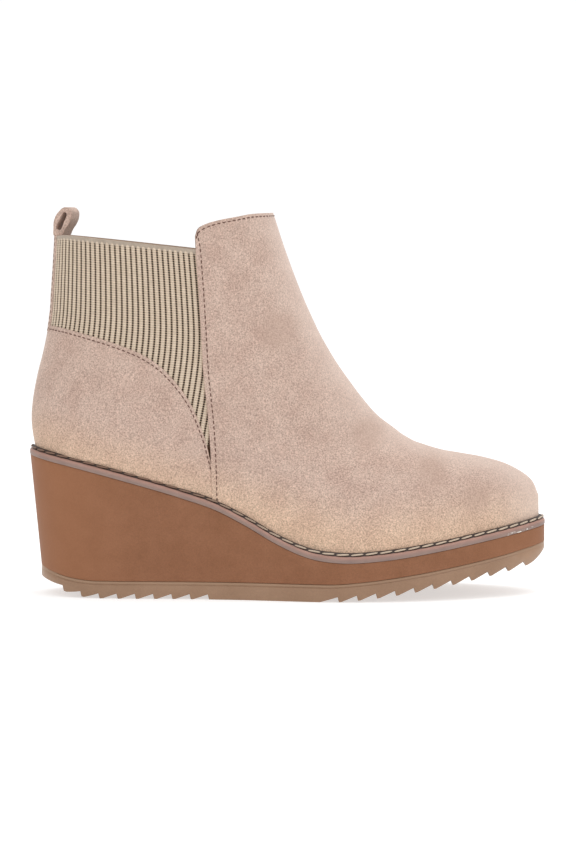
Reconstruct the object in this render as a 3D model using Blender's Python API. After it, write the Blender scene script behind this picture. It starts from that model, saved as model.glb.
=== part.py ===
"""A right wedge ankle boot with elastic side panels, standing empty on its sole.

+X runs to the toe, -Y is the boot's outer side, +Z is up. The origin is on the floor, under the middle
of the boot. All sizes are in metres.
"""

import math

import bmesh
import bpy
import numpy as np
from mathutils import Matrix

# Sole
LENGTH = 0.250
BALL_WIDTH = 0.092
HEEL_WIDTH = 0.064
HEEL_HEIGHT = 0.0676
OUTSOLE_HEIGHT = 0.0083
TOE_SPRING = 0.0165
TOE_SPRING_START = 0.0200
TOE_ROLL = 0.0030
TOE_ROLL_LENGTH = 0.0080
HEEL_ROLL = 0.0090
HEEL_ROLL_LENGTH = 0.0290
HEEL_RAKE = 0.0052
OUTSOLE_LIP = 0.0006
OUTSOLE_LIP_HEIGHT = 0.0016

# Lugs: a steep face towards the heel, a flat land and a long rise towards the toe
LUG_DEPTH = 0.0024
LUG_LAND = 0.0012
LUG_STEEP_RUN = 0.0006
HEEL_LUGS = 8
HEEL_LUG_PITCH = 0.00875
TOE_LUGS = 11
TOE_LUG_PITCH = 0.00905
ARCH_START = -0.0377
ARCH_END = 0.0150

# Welt and insole
WELT_WIDTH = 0.0033
WELT_EDGE_HEIGHT = 0.0029
WELT_HEIGHT = 0.0043
INSOLE_THICKNESS = 0.0030
INSOLE_GAP = 0.0010

# Upper
SHAFT_RISE = 0.1557
SHAFT_WIDTH = 0.062
WALL = 0.0018
LAP = 0.0006

# Elastic side panels and back strip
GORE_THICKNESS = 0.0015
GORE_SINK = 0.0002
RIB_PITCH = 0.00255
RIB_DEPTH = 0.0006
RIB_SPREAD = 0.17
BACK_STRIP_WIDTH = 0.0140
BACK_STRIP_THICKNESS = 0.0019

# Pull loop
LOOP_HEIGHT = 0.0136
LOOP_DEPTH = 0.0086
LOOP_WIDTH = 0.0130
LOOP_TWIST = math.radians(14)
LOOP_ALONG = 0.0560
LOOP_UP = 0.7022

# Fits, margins past the cut edges and steps along the curves
CLEARANCE = 0.0003
STRIP_RAISE = 0.0002
HEM = 0.0050
LAP_MARGIN = 0.0020
CUT_MARGIN = 0.0040
CUT_REACH = 0.0200
WELT_SLOPE_RUN_ON = 0.0010
GORE_REACH = 0.0900
SOLE_STEPS = 36
PANEL_ROWS = 9
STRIP_ROWS = 6
LINE_STEPS = 3
END_TURN = 0.05
FOOT_BLEND = 12
SIDES = {"lateral": -1, "medial": 1}


def table(names, *rows):
    """A short table read by column name."""
    return dict(zip(names.split(), np.array(rows, float).T))


# The sole seen from above: half-widths are shares of the width at that place.
PLAN = table(
    "along  lateral  medial",
    (0.000, 0.000, 0.000),
    (0.012, 0.194, 0.194),
    (0.044, 0.338, 0.338),
    (0.104, 0.430, 0.425),
    (0.200, 0.477, 0.461),
    (0.300, 0.468, 0.443),
    (0.400, 0.455, 0.391),
    (0.500, 0.474, 0.394),
    (0.600, 0.500, 0.451),
    (0.680, 0.487, 0.491),
    (0.760, 0.440, 0.487),
    (0.840, 0.356, 0.440),
    (0.910, 0.258, 0.346),
    (0.960, 0.146, 0.252),
    (0.990, 0.046, 0.152),
    (1.000, -0.054, 0.054),
)

# The line where the upper stands on the wedge, as shares of HEEL_HEIGHT.
SOLE_TOP = table(
    "along  up",
    (0.00, 1.000),
    (0.10, 0.916),
    (0.20, 0.818),
    (0.30, 0.710),
    (0.36, 0.635),
    (0.42, 0.524),
    (0.48, 0.398),
    (0.54, 0.306),
    (0.60, 0.274),
    (0.68, 0.288),
    (0.78, 0.340),
    (0.90, 0.420),
    (1.00, 0.488),
)

# Sections of the upper from the collar to the toe. Each is a slanted ring between a point of the instep
# line and a point of the back line. Heights are shares of SHAFT_RISE above the sole's top line, and
# half-widths are shares of SHAFT_WIDTH. A ring is rounder or blunter in front and behind by its instep
# and heel powers. From the heel's corner on, the rings end on the sole instead.
BACK_SECTIONS = 9
SECTIONS = table(
    "front_along front_up back_along back_up lateral medial widest instep heel swing",
    (0.454, 1.050, 0.052, 0.767, 0.484, 0.468, 0.50, 2.30, 2.40, 0.00),
    (0.469, 1.000, 0.049, 0.695, 0.500, 0.484, 0.50, 2.30, 2.40, 0.00),
    (0.494, 0.898, 0.044, 0.574, 0.492, 0.476, 0.50, 2.30, 2.40, 0.00),
    (0.529, 0.774, 0.038, 0.441, 0.484, 0.468, 0.52, 2.25, 2.50, 0.00),
    (0.562, 0.673, 0.027, 0.340, 0.492, 0.476, 0.55, 2.20, 2.70, 0.00),
    (0.605, 0.569, 0.013, 0.245, 0.508, 0.492, 0.58, 2.15, 2.90, 0.00),
    (0.646, 0.478, 0.004, 0.158, 0.512, 0.496, 0.60, 2.10, 3.00, 0.00),
    (0.676, 0.423, 0.003, 0.087, 0.509, 0.493, 0.62, 2.10, 3.10, 0.00),
    (0.700, 0.387, 0.013, 0.000, 0.500, 0.484, 0.63, 2.10, 3.20, 0.00),
    (0.708, 0.376, 0.000, 0.000, 0.498, 0.482, 0.64, 2.10, 3.10, 0.00),
    (0.718, 0.362, 0.000, 0.000, 0.497, 0.480, 0.64, 2.05, 3.00, 0.00),
    (0.730, 0.348, 0.000, 0.000, 0.501, 0.481, 0.66, 2.05, 2.80, 0.00),
    (0.744, 0.333, 0.000, 0.000, 0.514, 0.486, 0.70, 2.00, 2.50, 0.00),
    (0.760, 0.320, 0.000, 0.000, 0.536, 0.500, 0.76, 2.00, 2.30, 0.00),
    (0.778, 0.305, 0.000, 0.000, 0.575, 0.525, 0.84, 2.00, 2.20, 0.00),
    (0.802, 0.288, 0.000, 0.000, 0.480, 0.420, 0.94, 2.00, 2.20, 0.06),
    (0.836, 0.269, 0.000, 0.000, 0.390, 0.350, 0.95, 2.05, 2.20, 0.20),
    (0.880, 0.242, 0.000, 0.000, 0.260, 0.250, 0.95, 2.50, 2.20, 0.44),
    (0.928, 0.204, 0.000, 0.000, 0.130, 0.130, 0.95, 3.00, 2.20, 0.70),
    (0.970, 0.149, 0.000, 0.000, 0.050, 0.050, 0.95, 4.00, 2.20, 0.92),
    (0.986, 0.094, 0.000, 0.000, 0.000, 0.000, 0.95, 4.50, 2.20, 1.00),
)

# Edges cut into the upper, seen from the side.
COLLAR_EDGE = table(
    "along  up",
    (0.469, 1.000),
    (0.430, 0.960),
    (0.399, 0.924),
    (0.368, 0.890),
    (0.346, 0.865),
    (0.330, 0.842),
    (0.324, 0.815),
)
VAMP_EDGE = table(
    "along  up",
    (0.324, 0.777),
    (0.330, 0.645),
    (0.335, 0.514),
    (0.339, 0.404),
    (0.344, 0.330),
    (0.349, 0.250),
    (0.352, 0.180),
    (0.353, 0.145),
)
VAMP_SEAM = table(
    "along  up",
    (0.353, 0.145),
    (0.356, 0.028),
    (0.358, -0.150),
)
COUNTER_EDGE = table(
    "along  up",
    (0.352, 0.145),
    (0.341, 0.208),
    (0.321, 0.282),
    (0.303, 0.323),
    (0.281, 0.357),
    (0.256, 0.385),
    (0.228, 0.402),
    (0.199, 0.411),
    (0.146, 0.417),
    (0.079, 0.419),
    (0.043, 0.416),
)
GORE_TOP = table(
    "along  up",
    (0.040, 0.690),
    (0.071, 0.706),
    (0.324, 0.775),
)

# Where the elastic's rows run: each from a point of the back line to a point of the instep's side.
ROWS = table(
    "back_along back_up front_along front_up",
    (0.049, 0.720, 0.440, 0.840),
    (0.044, 0.590, 0.440, 0.690),
    (0.038, 0.470, 0.440, 0.540),
    (0.033, 0.395, 0.440, 0.380),
    (0.023, 0.310, 0.440, 0.220),
    (0.010, 0.220, 0.440, 0.080),
)


# The pull loop seen from the side, as shares of LOOP_DEPTH and LOOP_HEIGHT.
LOOP_OUTLINE = table(
    "depth  height",
    (0.00, 0.00),
    (-0.08, 0.31),
    (-0.03, 0.59),
    (0.20, 0.83),
    (0.64, 1.00),
    (0.90, 0.88),
    (0.92, 0.71),
    (0.80, 0.47),
    (0.64, 0.26),
    (0.41, 0.02),
)
LOOP_HOLE = table(
    "depth  height",
    (0.62, 0.82),
    (0.36, 0.66),
    (0.20, 0.26),
    (0.58, 0.56),
)


def spline(xs, ys, at):
    """A smooth curve through the points of two columns, read at one or more places."""
    slopes = np.gradient(ys, xs)
    i = np.clip(np.searchsorted(xs, at) - 1, 0, len(xs) - 2)
    step = xs[i + 1] - xs[i]
    t = np.clip((at - xs[i]) / step, 0, 1)
    rise = t * t * (3 - 2 * t)
    bend = t * (1 - t) ** 2 * step * slopes[i] - t * t * (1 - t) * step * slopes[i + 1]
    return ys[i] * (1 - rise) + ys[i + 1] * rise + bend


def x_at(along, rake=0.0):
    """The place along the sole, drawn in at the heel by a rake."""
    return -LENGTH / 2 + rake + along * (LENGTH - rake)


def turn_of(along):
    """Evenly spaced turns crowd the places along the sole towards its round ends."""
    return np.arccos(1 - 2 * np.clip(along, 0, 1))


def along_of(turn):
    return (1 - np.cos(turn)) / 2


def half_width(turn, side):
    blend = np.clip((along_of(turn) - 0.2) / 0.4, 0, 1)
    width = HEEL_WIDTH + (BALL_WIDTH - HEEL_WIDTH) * blend * blend * (3 - 2 * blend)
    return width * spline(turn_of(PLAN["along"]), PLAN[side], turn)


def plan_side(inset, side, count=181):
    """One side of the sole's outline from heel to toe, moved inwards by an even distance."""
    turn = np.linspace(0, math.pi, count)
    x = x_at(along_of(turn))
    y = SIDES[side] * half_width(turn, side)
    dx = np.gradient(x, turn)
    dy = np.gradient(y, turn)
    dx[0] = dx[-1] = 0
    reach = np.hypot(dx, dy)
    return x + SIDES[side] * inset * dy / reach, y - SIDES[side] * inset * dx / reach


def sole_top(x):
    return HEEL_HEIGHT * spline(SOLE_TOP["along"], SOLE_TOP["up"], np.clip(x / LENGTH + 0.5, 0, 1))


def heel_roll(x):
    start = x_at(0, HEEL_RAKE)
    return HEEL_ROLL * np.clip((start + HEEL_ROLL_LENGTH - x) / HEEL_ROLL_LENGTH, 0, 1) ** 2


def ground_line(x):
    """The lowest line of the outsole: flat, rolled up at the heel and sprung at the toe."""
    toe = x_at(1)
    spring = TOE_SPRING * np.clip((x - TOE_SPRING_START) / (toe - TOE_SPRING_START), 0, 1) ** 1.4
    roll = TOE_ROLL * np.clip((x - toe + TOE_ROLL_LENGTH) / TOE_ROLL_LENGTH, 0, 1) ** 2
    return heel_roll(x) + spring + roll


def outsole_top(x):
    """The joint of outsole and wedge: even above the ground line, but lower over the rolled heel."""
    roll = TOE_ROLL * np.clip((x - x_at(1) + TOE_ROLL_LENGTH) / TOE_ROLL_LENGTH, 0, 1) ** 2
    return ground_line(x) - roll + OUTSOLE_HEIGHT - 0.35 * heel_roll(x)


def lug_profile():
    """Places along the sole and heights above the ground line where the tread changes slope."""
    heel_tips = [ARCH_START - k * HEEL_LUG_PITCH for k in range(HEEL_LUGS, 0, -1)]
    toe_tips = [ARCH_END + k * TOE_LUG_PITCH for k in range(1, TOE_LUGS + 1)]
    stops = [(x_at(0, HEEL_RAKE), 0.0)]
    for tip in heel_tips:
        stops += [(tip - LUG_STEEP_RUN, LUG_DEPTH), (tip, 0.0), (tip + LUG_LAND, 0.0)]
    stops += [(ARCH_START - LUG_STEEP_RUN, LUG_DEPTH), (ARCH_START, 0.0), (ARCH_END, 0.0)]
    for tip in toe_tips:
        stops += [(tip - LUG_STEEP_RUN, LUG_DEPTH), (tip, 0.0), (tip + LUG_LAND, 0.0)]
    stops.append((x_at(1), LUG_DEPTH))
    return np.array(stops)


def place(along, up):
    """A point seen from the side: its place along the sole and its height above the sole's top line."""
    x = x_at(along)
    return np.stack([x, sole_top(x) + up * SHAFT_RISE], -1)


LAST_SECTION = len(SECTIONS["widest"]) - 1
CORNER = BACK_SECTIONS - 1


def section(at, name):
    return spline(np.arange(LAST_SECTION + 1.0), SECTIONS[name], at)


def sole_turns():
    """Turns along one side of the sole, kept off the points where its two sides meet."""
    turns = np.linspace(0, math.pi, SOLE_STEPS + 1)
    return np.clip(turns, END_TURN, math.pi - END_TURN)


def feather(turn, side):
    """Where the upper meets the sole: the outline drawn in by the welt."""
    x, y = plan_side(WELT_WIDTH, side)
    turns = np.linspace(0, math.pi, len(x))
    return np.interp(turn, turns, x), np.interp(turn, turns, y)


def ring_ends(at):
    """Front and back ends, seen from the side, of the rings at some places in the table of sections."""
    front = place(section(at, "front_along"), section(at, "front_up"))
    rows = np.arange(BACK_SECTIONS * 1.0)
    along = SECTIONS["back_along"][:BACK_SECTIONS].copy()
    along[-1] = feather(0.0, "lateral")[0] / LENGTH + 0.5
    shaft_at = np.minimum(at, CORNER)
    back = place(spline(rows, along, shaft_at), spline(rows, SECTIONS["back_up"][:BACK_SECTIONS], shaft_at))
    turn = np.clip((at - CORNER) / (LAST_SECTION - CORNER), 0, 1) * math.pi
    x = feather(turn, "lateral")[0]
    foot = np.stack([x, sole_top(x)], -1)
    return front, np.where((at > CORNER)[:, None], foot, back), turn


def ring_side(at, t, side):
    """The form's y on one side, at a share t of the way from the front of a ring to its back."""
    turn = ring_ends(at)[2]
    middle_line = half_width(math.pi, "medial") * section(at, "swing")
    foot = np.where(at > CORNER, np.maximum(SIDES[side] * (feather(turn, side)[1] - middle_line), 0), 0)
    own = SHAFT_WIDTH * np.maximum(section(at, side), 0)
    widest = (own**FOOT_BLEND + foot**FOOT_BLEND) ** (1 / FOOT_BLEND) + 1e-9
    instep = section(at, "instep")
    heel = section(at, "heel")
    middle = section(at, "widest")
    front = np.clip((middle - t) / middle, 0, 1)
    cut_off = (1 - np.clip(foot / widest, 0, 1) ** 2) ** (1 / heel)
    back = np.clip((t - middle) / (1 - middle), 0, 1) * cut_off
    share = np.where(t < middle, 1 - front**instep, np.maximum(1 - back**heel, 0)) ** 0.5
    return middle_line + SIDES[side] * widest * share


def width_at(x, z, side):
    """The form's y at points seen from the side, found by closing in on the ring that holds each."""
    low = np.zeros(len(x))
    high = np.full(len(x), float(LAST_SECTION))
    for _ in range(30):
        at = (low + high) / 2
        front, back, _ = ring_ends(at)
        line = back - front
        ahead = line[:, 0] * (z - front[:, 1]) - line[:, 1] * (x - front[:, 0]) > 0
        low = np.where(ahead, at, low)
        high = np.where(ahead, high, at)
    t = ((x - front[:, 0]) * line[:, 0] + (z - front[:, 1]) * line[:, 1]) / (line**2).sum(1)
    return ring_side(at, np.clip(t, 0, 1), side)


def unit(vectors):
    return vectors / np.maximum(np.linalg.norm(vectors, axis=-1, keepdims=True), 1e-12)


def form_grid():
    """Points and outward normals of the upper's form, a row for each ring.

    A row runs from the hem on the outer side up over the instep line and down to the hem on the inner side.
    """
    shaft_rows = np.arange(0, CORNER, 0.8)
    rows = np.concatenate([shaft_rows, np.linspace(CORNER, LAST_SECTION, 22)])
    shares = (1 - np.cos(np.linspace(0, math.pi, 13))) / 2
    front, back, _ = ring_ends(rows)
    at, t = (grid.ravel() for grid in np.meshgrid(rows, shares, indexing="ij"))
    xz = front[:, None] + shares[:, None] * (back - front)[:, None]
    halves = []
    for side in SIDES:
        y = ring_side(at, t, side).reshape(len(rows), len(shares))
        halves.append(np.stack([xz[..., 0], y, xz[..., 1]], -1))
    points = np.concatenate([halves[0][:, ::-1], halves[1][:, 1:]], 1)
    normals = unit(np.cross(np.gradient(points, axis=1), np.gradient(points, axis=0)))
    if normals[0, len(shares) - 1, 0] < 0:
        normals = -normals
    mirrored = normals[:, ::-1]
    seam = np.zeros(points.shape[:2], bool)
    seam[: len(shaft_rows) + 1, [0, -1]] = True
    seam[-1] = True
    normals = np.where(seam[..., None], unit(normals + mirrored), normals)
    hem = points[:, [0, -1]]
    hem[len(shaft_rows):, :, 2] -= HEM
    points = np.concatenate([hem[:, :1], points, hem[:, 1:]], 1)
    normals = np.concatenate([normals[:, :1], normals, normals[:, -1:]], 1)
    return points, normals, len(shaft_rows)


def mesh_object(name, points, faces, collection, finish=None):
    """A mesh of points and faces, with its doubles merged and its normals facing out."""
    mesh = bpy.data.meshes.new(name)
    mesh.from_pydata([tuple(point) for point in points], [], faces)
    bm = bmesh.new()
    bm.from_mesh(mesh)
    bmesh.ops.remove_doubles(bm, verts=bm.verts, dist=2e-6)
    bmesh.ops.recalc_face_normals(bm, faces=bm.faces)
    bm.to_mesh(mesh)
    bm.free()
    obj = bpy.data.objects.new(name, mesh)
    collection.objects.link(obj)
    if finish:
        mesh.materials.append(finish)
    return obj


def loft(name, rings, collection, finish=None, closed=False):
    """A skin over a row of rings with equal counts of points, capped at its ends or closed on itself."""
    count = len(rings[0])
    faces = []
    for i in range(len(rings) if closed else len(rings) - 1):
        here = i * count
        there = (i + 1) % len(rings) * count
        for j in range(count):
            k = (j + 1) % count
            faces.append((here + j, here + k, there + k, there + j))
    if not closed:
        faces += [tuple(range(count)), tuple(range((len(rings) - 1) * count, len(rings) * count))]
    return mesh_object(name, [point for ring in rings for point in ring], faces, collection, finish)


def prism(name, outline, collection):
    """An outline seen from the side, drawn out past both sides of the boot."""
    sides = [[(x, y, z) for x, z in outline] for y in (-BALL_WIDTH, BALL_WIDTH)]
    return loft(name, sides, collection)


def grid_faces(rows, columns, first_row=None, start=0):
    """Faces of a grid of points. The outermost columns have faces only from a given row on."""
    faces = []
    for i in range(rows - 1):
        for j in range(columns - 1):
            if first_row is not None and j in (0, columns - 2) and i < first_row:
                continue
            a = start + i * columns + j
            faces.append((a, a + 1, a + columns + 1, a + columns))
    return faces


def solid_form(name, offset, collection):
    """The upper's form as a filled solid, moved out by an offset."""
    points, normals, corner = form_grid()
    rows, columns = points.shape[:2]
    faces = grid_faces(rows, columns, corner)
    middle = columns // 2
    faces.append((middle - 1, middle, middle + 1))
    for j in range(1, middle - 1):
        faces.append((j, j + 1, columns - 2 - j, columns - 1 - j))
    for i in range(corner, rows - 1):
        a = i * columns
        faces.append((a, a + columns, a + 2 * columns - 1, a + columns - 1))
    moved = points + normals * offset
    return mesh_object(name, moved.reshape(-1, 3), faces, collection)


def wall_form(name, outer, inner, collection, finish=None):
    """The upper's form as an open wall between two offsets."""
    points, normals, corner = form_grid()
    rows, columns = points.shape[:2]
    size = rows * columns
    faces = grid_faces(rows, columns, corner) + grid_faces(rows, columns, corner, size)
    rim = [(j, j + 1) for j in range(1, columns - 2)]
    rim += [(i * columns, (i + 1) * columns) for i in range(corner, rows - 1)]
    rim += [((i + 1) * columns - 1, (i + 2) * columns - 1) for i in range(corner, rows - 1)]
    faces += [(a, b, b + size, a + size) for a, b in rim]
    layers = np.concatenate([(points + normals * shift).reshape(-1, 3) for shift in (outer, inner)])
    return mesh_object(name, layers, faces, collection, finish)


def cut(obj, cutter, operation="DIFFERENCE"):
    modifier = obj.modifiers.new(operation.title() + " " + cutter.name, "BOOLEAN")
    modifier.operation = operation
    modifier.object = cutter
    modifier.use_self = True


def smooth_line(rows):
    """The points of a table of places seen from the side, joined by a smooth curve."""
    corners = place(rows["along"], rows["up"])
    index = np.arange(len(corners) * 1.0)
    at = np.linspace(0, len(corners) - 1, (len(corners) - 1) * LINE_STEPS + 1)
    return np.stack([spline(index, corners[:, 0], at), spline(index, corners[:, 1], at)], -1)


def shifted(line, distance):
    """A line seen from the side, moved to the left of its direction."""
    along = unit(np.gradient(line, axis=0))
    return line + distance * np.stack([-along[:, 1], along[:, 0]], -1)


def gore_outline():
    """The window between vamp and counter, less the clearance, up to the elastic's own top edge."""
    vamp = shifted(smooth_line(VAMP_EDGE), -CLEARANCE)
    counter = shifted(smooth_line(COUNTER_EDGE), -CLEARANCE)
    free = counter[:, 0] < np.interp(counter[:, 1], vamp[::-1, 1], vamp[::-1, 0])
    counter = counter[free]
    vamp = vamp[vamp[:, 1] > counter[0, 1]]
    top = place(GORE_TOP["along"], GORE_TOP["up"])
    vamp[0] = top[-1] - (CLEARANCE, 0)
    behind = counter[-1] - (CUT_REACH, 0)
    return np.concatenate([[(behind[0], top[0, 1])], top[:-1], vamp, counter, [behind]])


def panel_grid(arcs, side):
    """Points on the form at given distances round from the back line, a row for each row line."""
    last = len(ROWS["back_up"]) - 1.0
    index = np.arange(last + 1)
    points = []
    for row in np.linspace(0, last, PANEL_ROWS):
        back = place(spline(index, ROWS["back_along"], row), spline(index, ROWS["back_up"], row))
        front = place(spline(index, ROWS["front_along"], row), spline(index, ROWS["front_up"], row))
        back = back - (CUT_MARGIN, 0)
        share = np.linspace(0, 1, 240) ** 1.6
        x, z = (back + share[:, None] * (front - back)).T
        y = width_at(x, z, side)
        start = np.flatnonzero(np.abs(y) < 1e-6).max()
        line = np.stack([x, y, z], -1)[start:]
        reach = np.concatenate([[0], np.cumsum(np.linalg.norm(np.diff(line, axis=0), axis=1))])
        first = BACK_STRIP_WIDTH / 2
        spread = 1 + RIB_SPREAD * row / last
        wanted = np.where(arcs > first, first + (arcs - first) * spread, arcs)
        points.append([np.interp(wanted, reach, line[:, k]) for k in range(3)])
    points = np.array(points).transpose(0, 2, 1)
    normals = unit(np.cross(np.gradient(points, axis=1), np.gradient(points, axis=0)))
    return points, normals * np.where(normals[..., 1:2] * SIDES[side] < 0, -1, 1)


def gore(side, collection, finish, cutters):
    """A ribbed elastic panel: each rib is a raised strip of its outer face."""
    ribs = int(GORE_REACH / RIB_PITCH)
    steps = np.array([0.0, 0.26, 0.74])
    arcs = BACK_STRIP_WIDTH / 2 + CLEARANCE + RIB_PITCH * (np.arange(ribs)[:, None] + steps).ravel()
    arcs = np.append(arcs, arcs[-3] + RIB_PITCH)
    points, normals = panel_grid(arcs, side)
    rows, columns = points.shape[:2]
    depth = np.where(np.arange(columns) % 3 == 0, RIB_DEPTH, 0.0)[:, None]
    outer = points - normals * (GORE_SINK + depth)
    inner = (points - normals * (GORE_SINK + GORE_THICKNESS))[:, ::3]
    size = rows * columns
    backs = inner.shape[1]
    faces = grid_faces(rows, columns) + grid_faces(rows, backs, None, size)
    for i in (0, rows - 1):
        for rib in range(ribs):
            a = i * columns + 3 * rib
            b = size + i * backs + rib
            faces.append((a, a + 1, a + 2, a + 3, b + 1, b))
    for i in range(rows - 1):
        for a, b in ((i * columns, i * backs), ((i + 1) * columns - 1, (i + 1) * backs - 1)):
            faces.append((a, a + columns, size + b + backs, size + b))
    layers = np.concatenate([outer.reshape(-1, 3), inner.reshape(-1, 3)])
    obj = mesh_object(f"gore_{side}", layers, faces, collection, finish)
    cut(obj, cutters["gore window"], "INTERSECT")
    return obj


def back_strip(collection, finish, cutters):
    """The suede strip over the ends of both elastic panels."""
    arcs = np.linspace(0, BACK_STRIP_WIDTH / 2, 6)
    lateral, lateral_normals = panel_grid(arcs, "lateral")
    medial, medial_normals = panel_grid(arcs, "medial")
    points = np.concatenate([lateral[:, ::-1], medial[:, 1:]], 1)[:STRIP_ROWS]
    normals = np.concatenate([lateral_normals[:, ::-1], medial_normals[:, 1:]], 1)[:STRIP_ROWS]
    middle = len(arcs) - 1
    normals[:, middle] = unit(normals[:, middle - 1] + normals[:, middle + 1])
    outer = points + normals * STRIP_RAISE
    inner = points + normals * (STRIP_RAISE - BACK_STRIP_THICKNESS)
    rings = [np.concatenate([front, back[::-1]]) for front, back in zip(outer, inner)]
    obj = loft("back_strip", rings, collection, finish)
    cut(obj, cutters["gore window"], "INTERSECT")
    return obj


def outsole(collection, finish):
    """Rubber outsole with a lip round its upper edge and lugs across heel and forefoot."""
    lugs = lug_profile()
    start = x_at(0, HEEL_RAKE)
    length = LENGTH - HEEL_RAKE
    turns = sole_turns()
    even = start + along_of(turns) * length
    breaks = lugs[:, 0]
    breaks = breaks[(breaks > even[0] + 0.0004) & (breaks < even[-1] - 0.0004)]
    even = even[np.abs(even[:, None] - breaks).min(1) > 0.0012]
    rings = []
    for x in np.sort(np.concatenate([even, breaks, start + along_of(turns[[0, -1]]) * length])):
        turn = turn_of((x - start) / length)
        top = outsole_top(x)
        bottom = ground_line(x) + np.interp(x, lugs[:, 0], lugs[:, 1])
        lip = top - OUTSOLE_LIP_HEIGHT
        lateral, medial = (SIDES[side] * half_width(turn, side) for side in SIDES)
        half = [(OUTSOLE_LIP, top), (OUTSOLE_LIP, lip), (0, lip), (0, bottom)]
        ring = [(x, lateral - out, z) for out, z in half]
        ring += [(x, medial + out, z) for out, z in half[::-1]]
        rings.append(ring)
    rings = [ring for k, ring in enumerate(rings) if k == 0 or ring[0][0] - rings[k - 1][0][0] > 1e-5]
    return loft("outsole", rings, collection, finish)


def wedge(collection, finish):
    """Midsole wedge and platform, its back face raked forwards towards the outsole."""
    rings = []
    for turn in sole_turns():
        along = along_of(turn)
        lateral, medial = (SIDES[side] * half_width(turn, side) for side in SIDES)
        top = x_at(along)
        foot = x_at(along, HEEL_RAKE)
        low = outsole_top(foot) + CLEARANCE
        rings.append([(top, lateral, sole_top(top)), (foot, lateral, low), (foot, medial, low), (top, medial, sole_top(top))])
    return loft("wedge", rings, collection, finish)


def plan_loop(inset):
    """The whole outline from the heel round the outer side to the toe and back along the inner side."""
    lateral = np.stack(plan_side(inset, "lateral", SOLE_STEPS + 1), -1)
    medial = np.stack(plan_side(inset, "medial", SOLE_STEPS + 1), -1)
    return np.concatenate([lateral, medial[-2:0:-1]])


def welt(collection, finish, cutters):
    """The stitched strip round the foot of the upper, its top sloping up to the upper."""
    edges = [
        (0.0, CLEARANCE),
        (0.0, WELT_EDGE_HEIGHT),
        (WELT_WIDTH + WALL / 2, WELT_HEIGHT + WELT_SLOPE_RUN_ON),
        (WELT_WIDTH + WALL / 2, CLEARANCE),
    ]
    loops = [plan_loop(inset) for inset, _ in edges]
    rings = []
    for k in range(len(loops[0])):
        ring = []
        for (_, up), loop in zip(edges, loops):
            x, y = loop[k]
            ring.append((x, y, sole_top(x) + up))
        rings.append(ring)
    obj = loft("welt", rings, collection, finish, closed=True)
    cut(obj, cutters["upper with clearance"])
    return obj


def insole(collection, finish, cutters):
    """The footbed on the wedge, trimmed to the inside of the upper."""
    rings = []
    for turn in sole_turns():
        x = x_at(along_of(turn))
        low = sole_top(x) + CLEARANCE
        lateral, medial = (SIDES[side] * half_width(turn, side) for side in SIDES)
        high = low + INSOLE_THICKNESS
        rings.append([(x, lateral, high), (x, lateral, low), (x, medial, low), (x, medial, high)])
    obj = loft("insole", rings, collection, finish)
    cut(obj, cutters["inside of the upper"], "INTERSECT")
    return obj


def upper(collection, finish, cutters):
    """One hollow wall: the counter, and the vamp with the shaft's front lapped over it."""
    obj = wall_form("upper", 0.0, -WALL, collection, finish)
    cut(obj, cutters["vamp lap"], "UNION")
    cut(obj, cutters["collar and gore window"])
    cut(obj, cutters["below the sole's top"])
    return obj


def pull_loop(collection, finish):
    """The strip's end folded to a loop: an outline with a hole, drawn out to the band's width."""
    shape = bpy.data.curves.new("pull_loop", "CURVE")
    shape.dimensions = "2D"
    shape.fill_mode = "BOTH"
    shape.extrude = LOOP_WIDTH / 2
    shape.resolution_u = 3
    for rows in (LOOP_OUTLINE, LOOP_HOLE):
        line = shape.splines.new("BEZIER")
        line.bezier_points.add(len(rows["depth"]) - 1)
        line.use_cyclic_u = True
        for point, depth, height in zip(line.bezier_points, rows["depth"], rows["height"]):
            point.co = (depth * LOOP_DEPTH, height * LOOP_HEIGHT, 0)
            point.handle_left_type = point.handle_right_type = "AUTO"
    drawn = bpy.data.objects.new("pull_loop outline", shape)
    collection.objects.link(drawn)
    bpy.context.view_layer.update()
    mesh = bpy.data.meshes.new_from_object(drawn.evaluated_get(bpy.context.evaluated_depsgraph_get()))
    bpy.data.objects.remove(drawn)
    bm = bmesh.new()
    bm.from_mesh(mesh)
    bmesh.ops.remove_doubles(bm, verts=bm.verts, dist=2e-6)
    bmesh.ops.recalc_face_normals(bm, faces=bm.faces)
    x, z = place(LOOP_ALONG, LOOP_UP)
    turned = Matrix.Rotation(-LOOP_TWIST, 4, "Z") @ Matrix.Rotation(math.pi / 2, 4, "X")
    bmesh.ops.transform(bm, matrix=Matrix.Translation((x, 0, z)) @ turned, verts=bm.verts)
    bm.to_mesh(mesh)
    bm.free()
    obj = bpy.data.objects.new("pull_loop", mesh)
    collection.objects.link(obj)
    mesh.materials.clear()
    mesh.materials.append(finish)
    return obj


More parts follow.
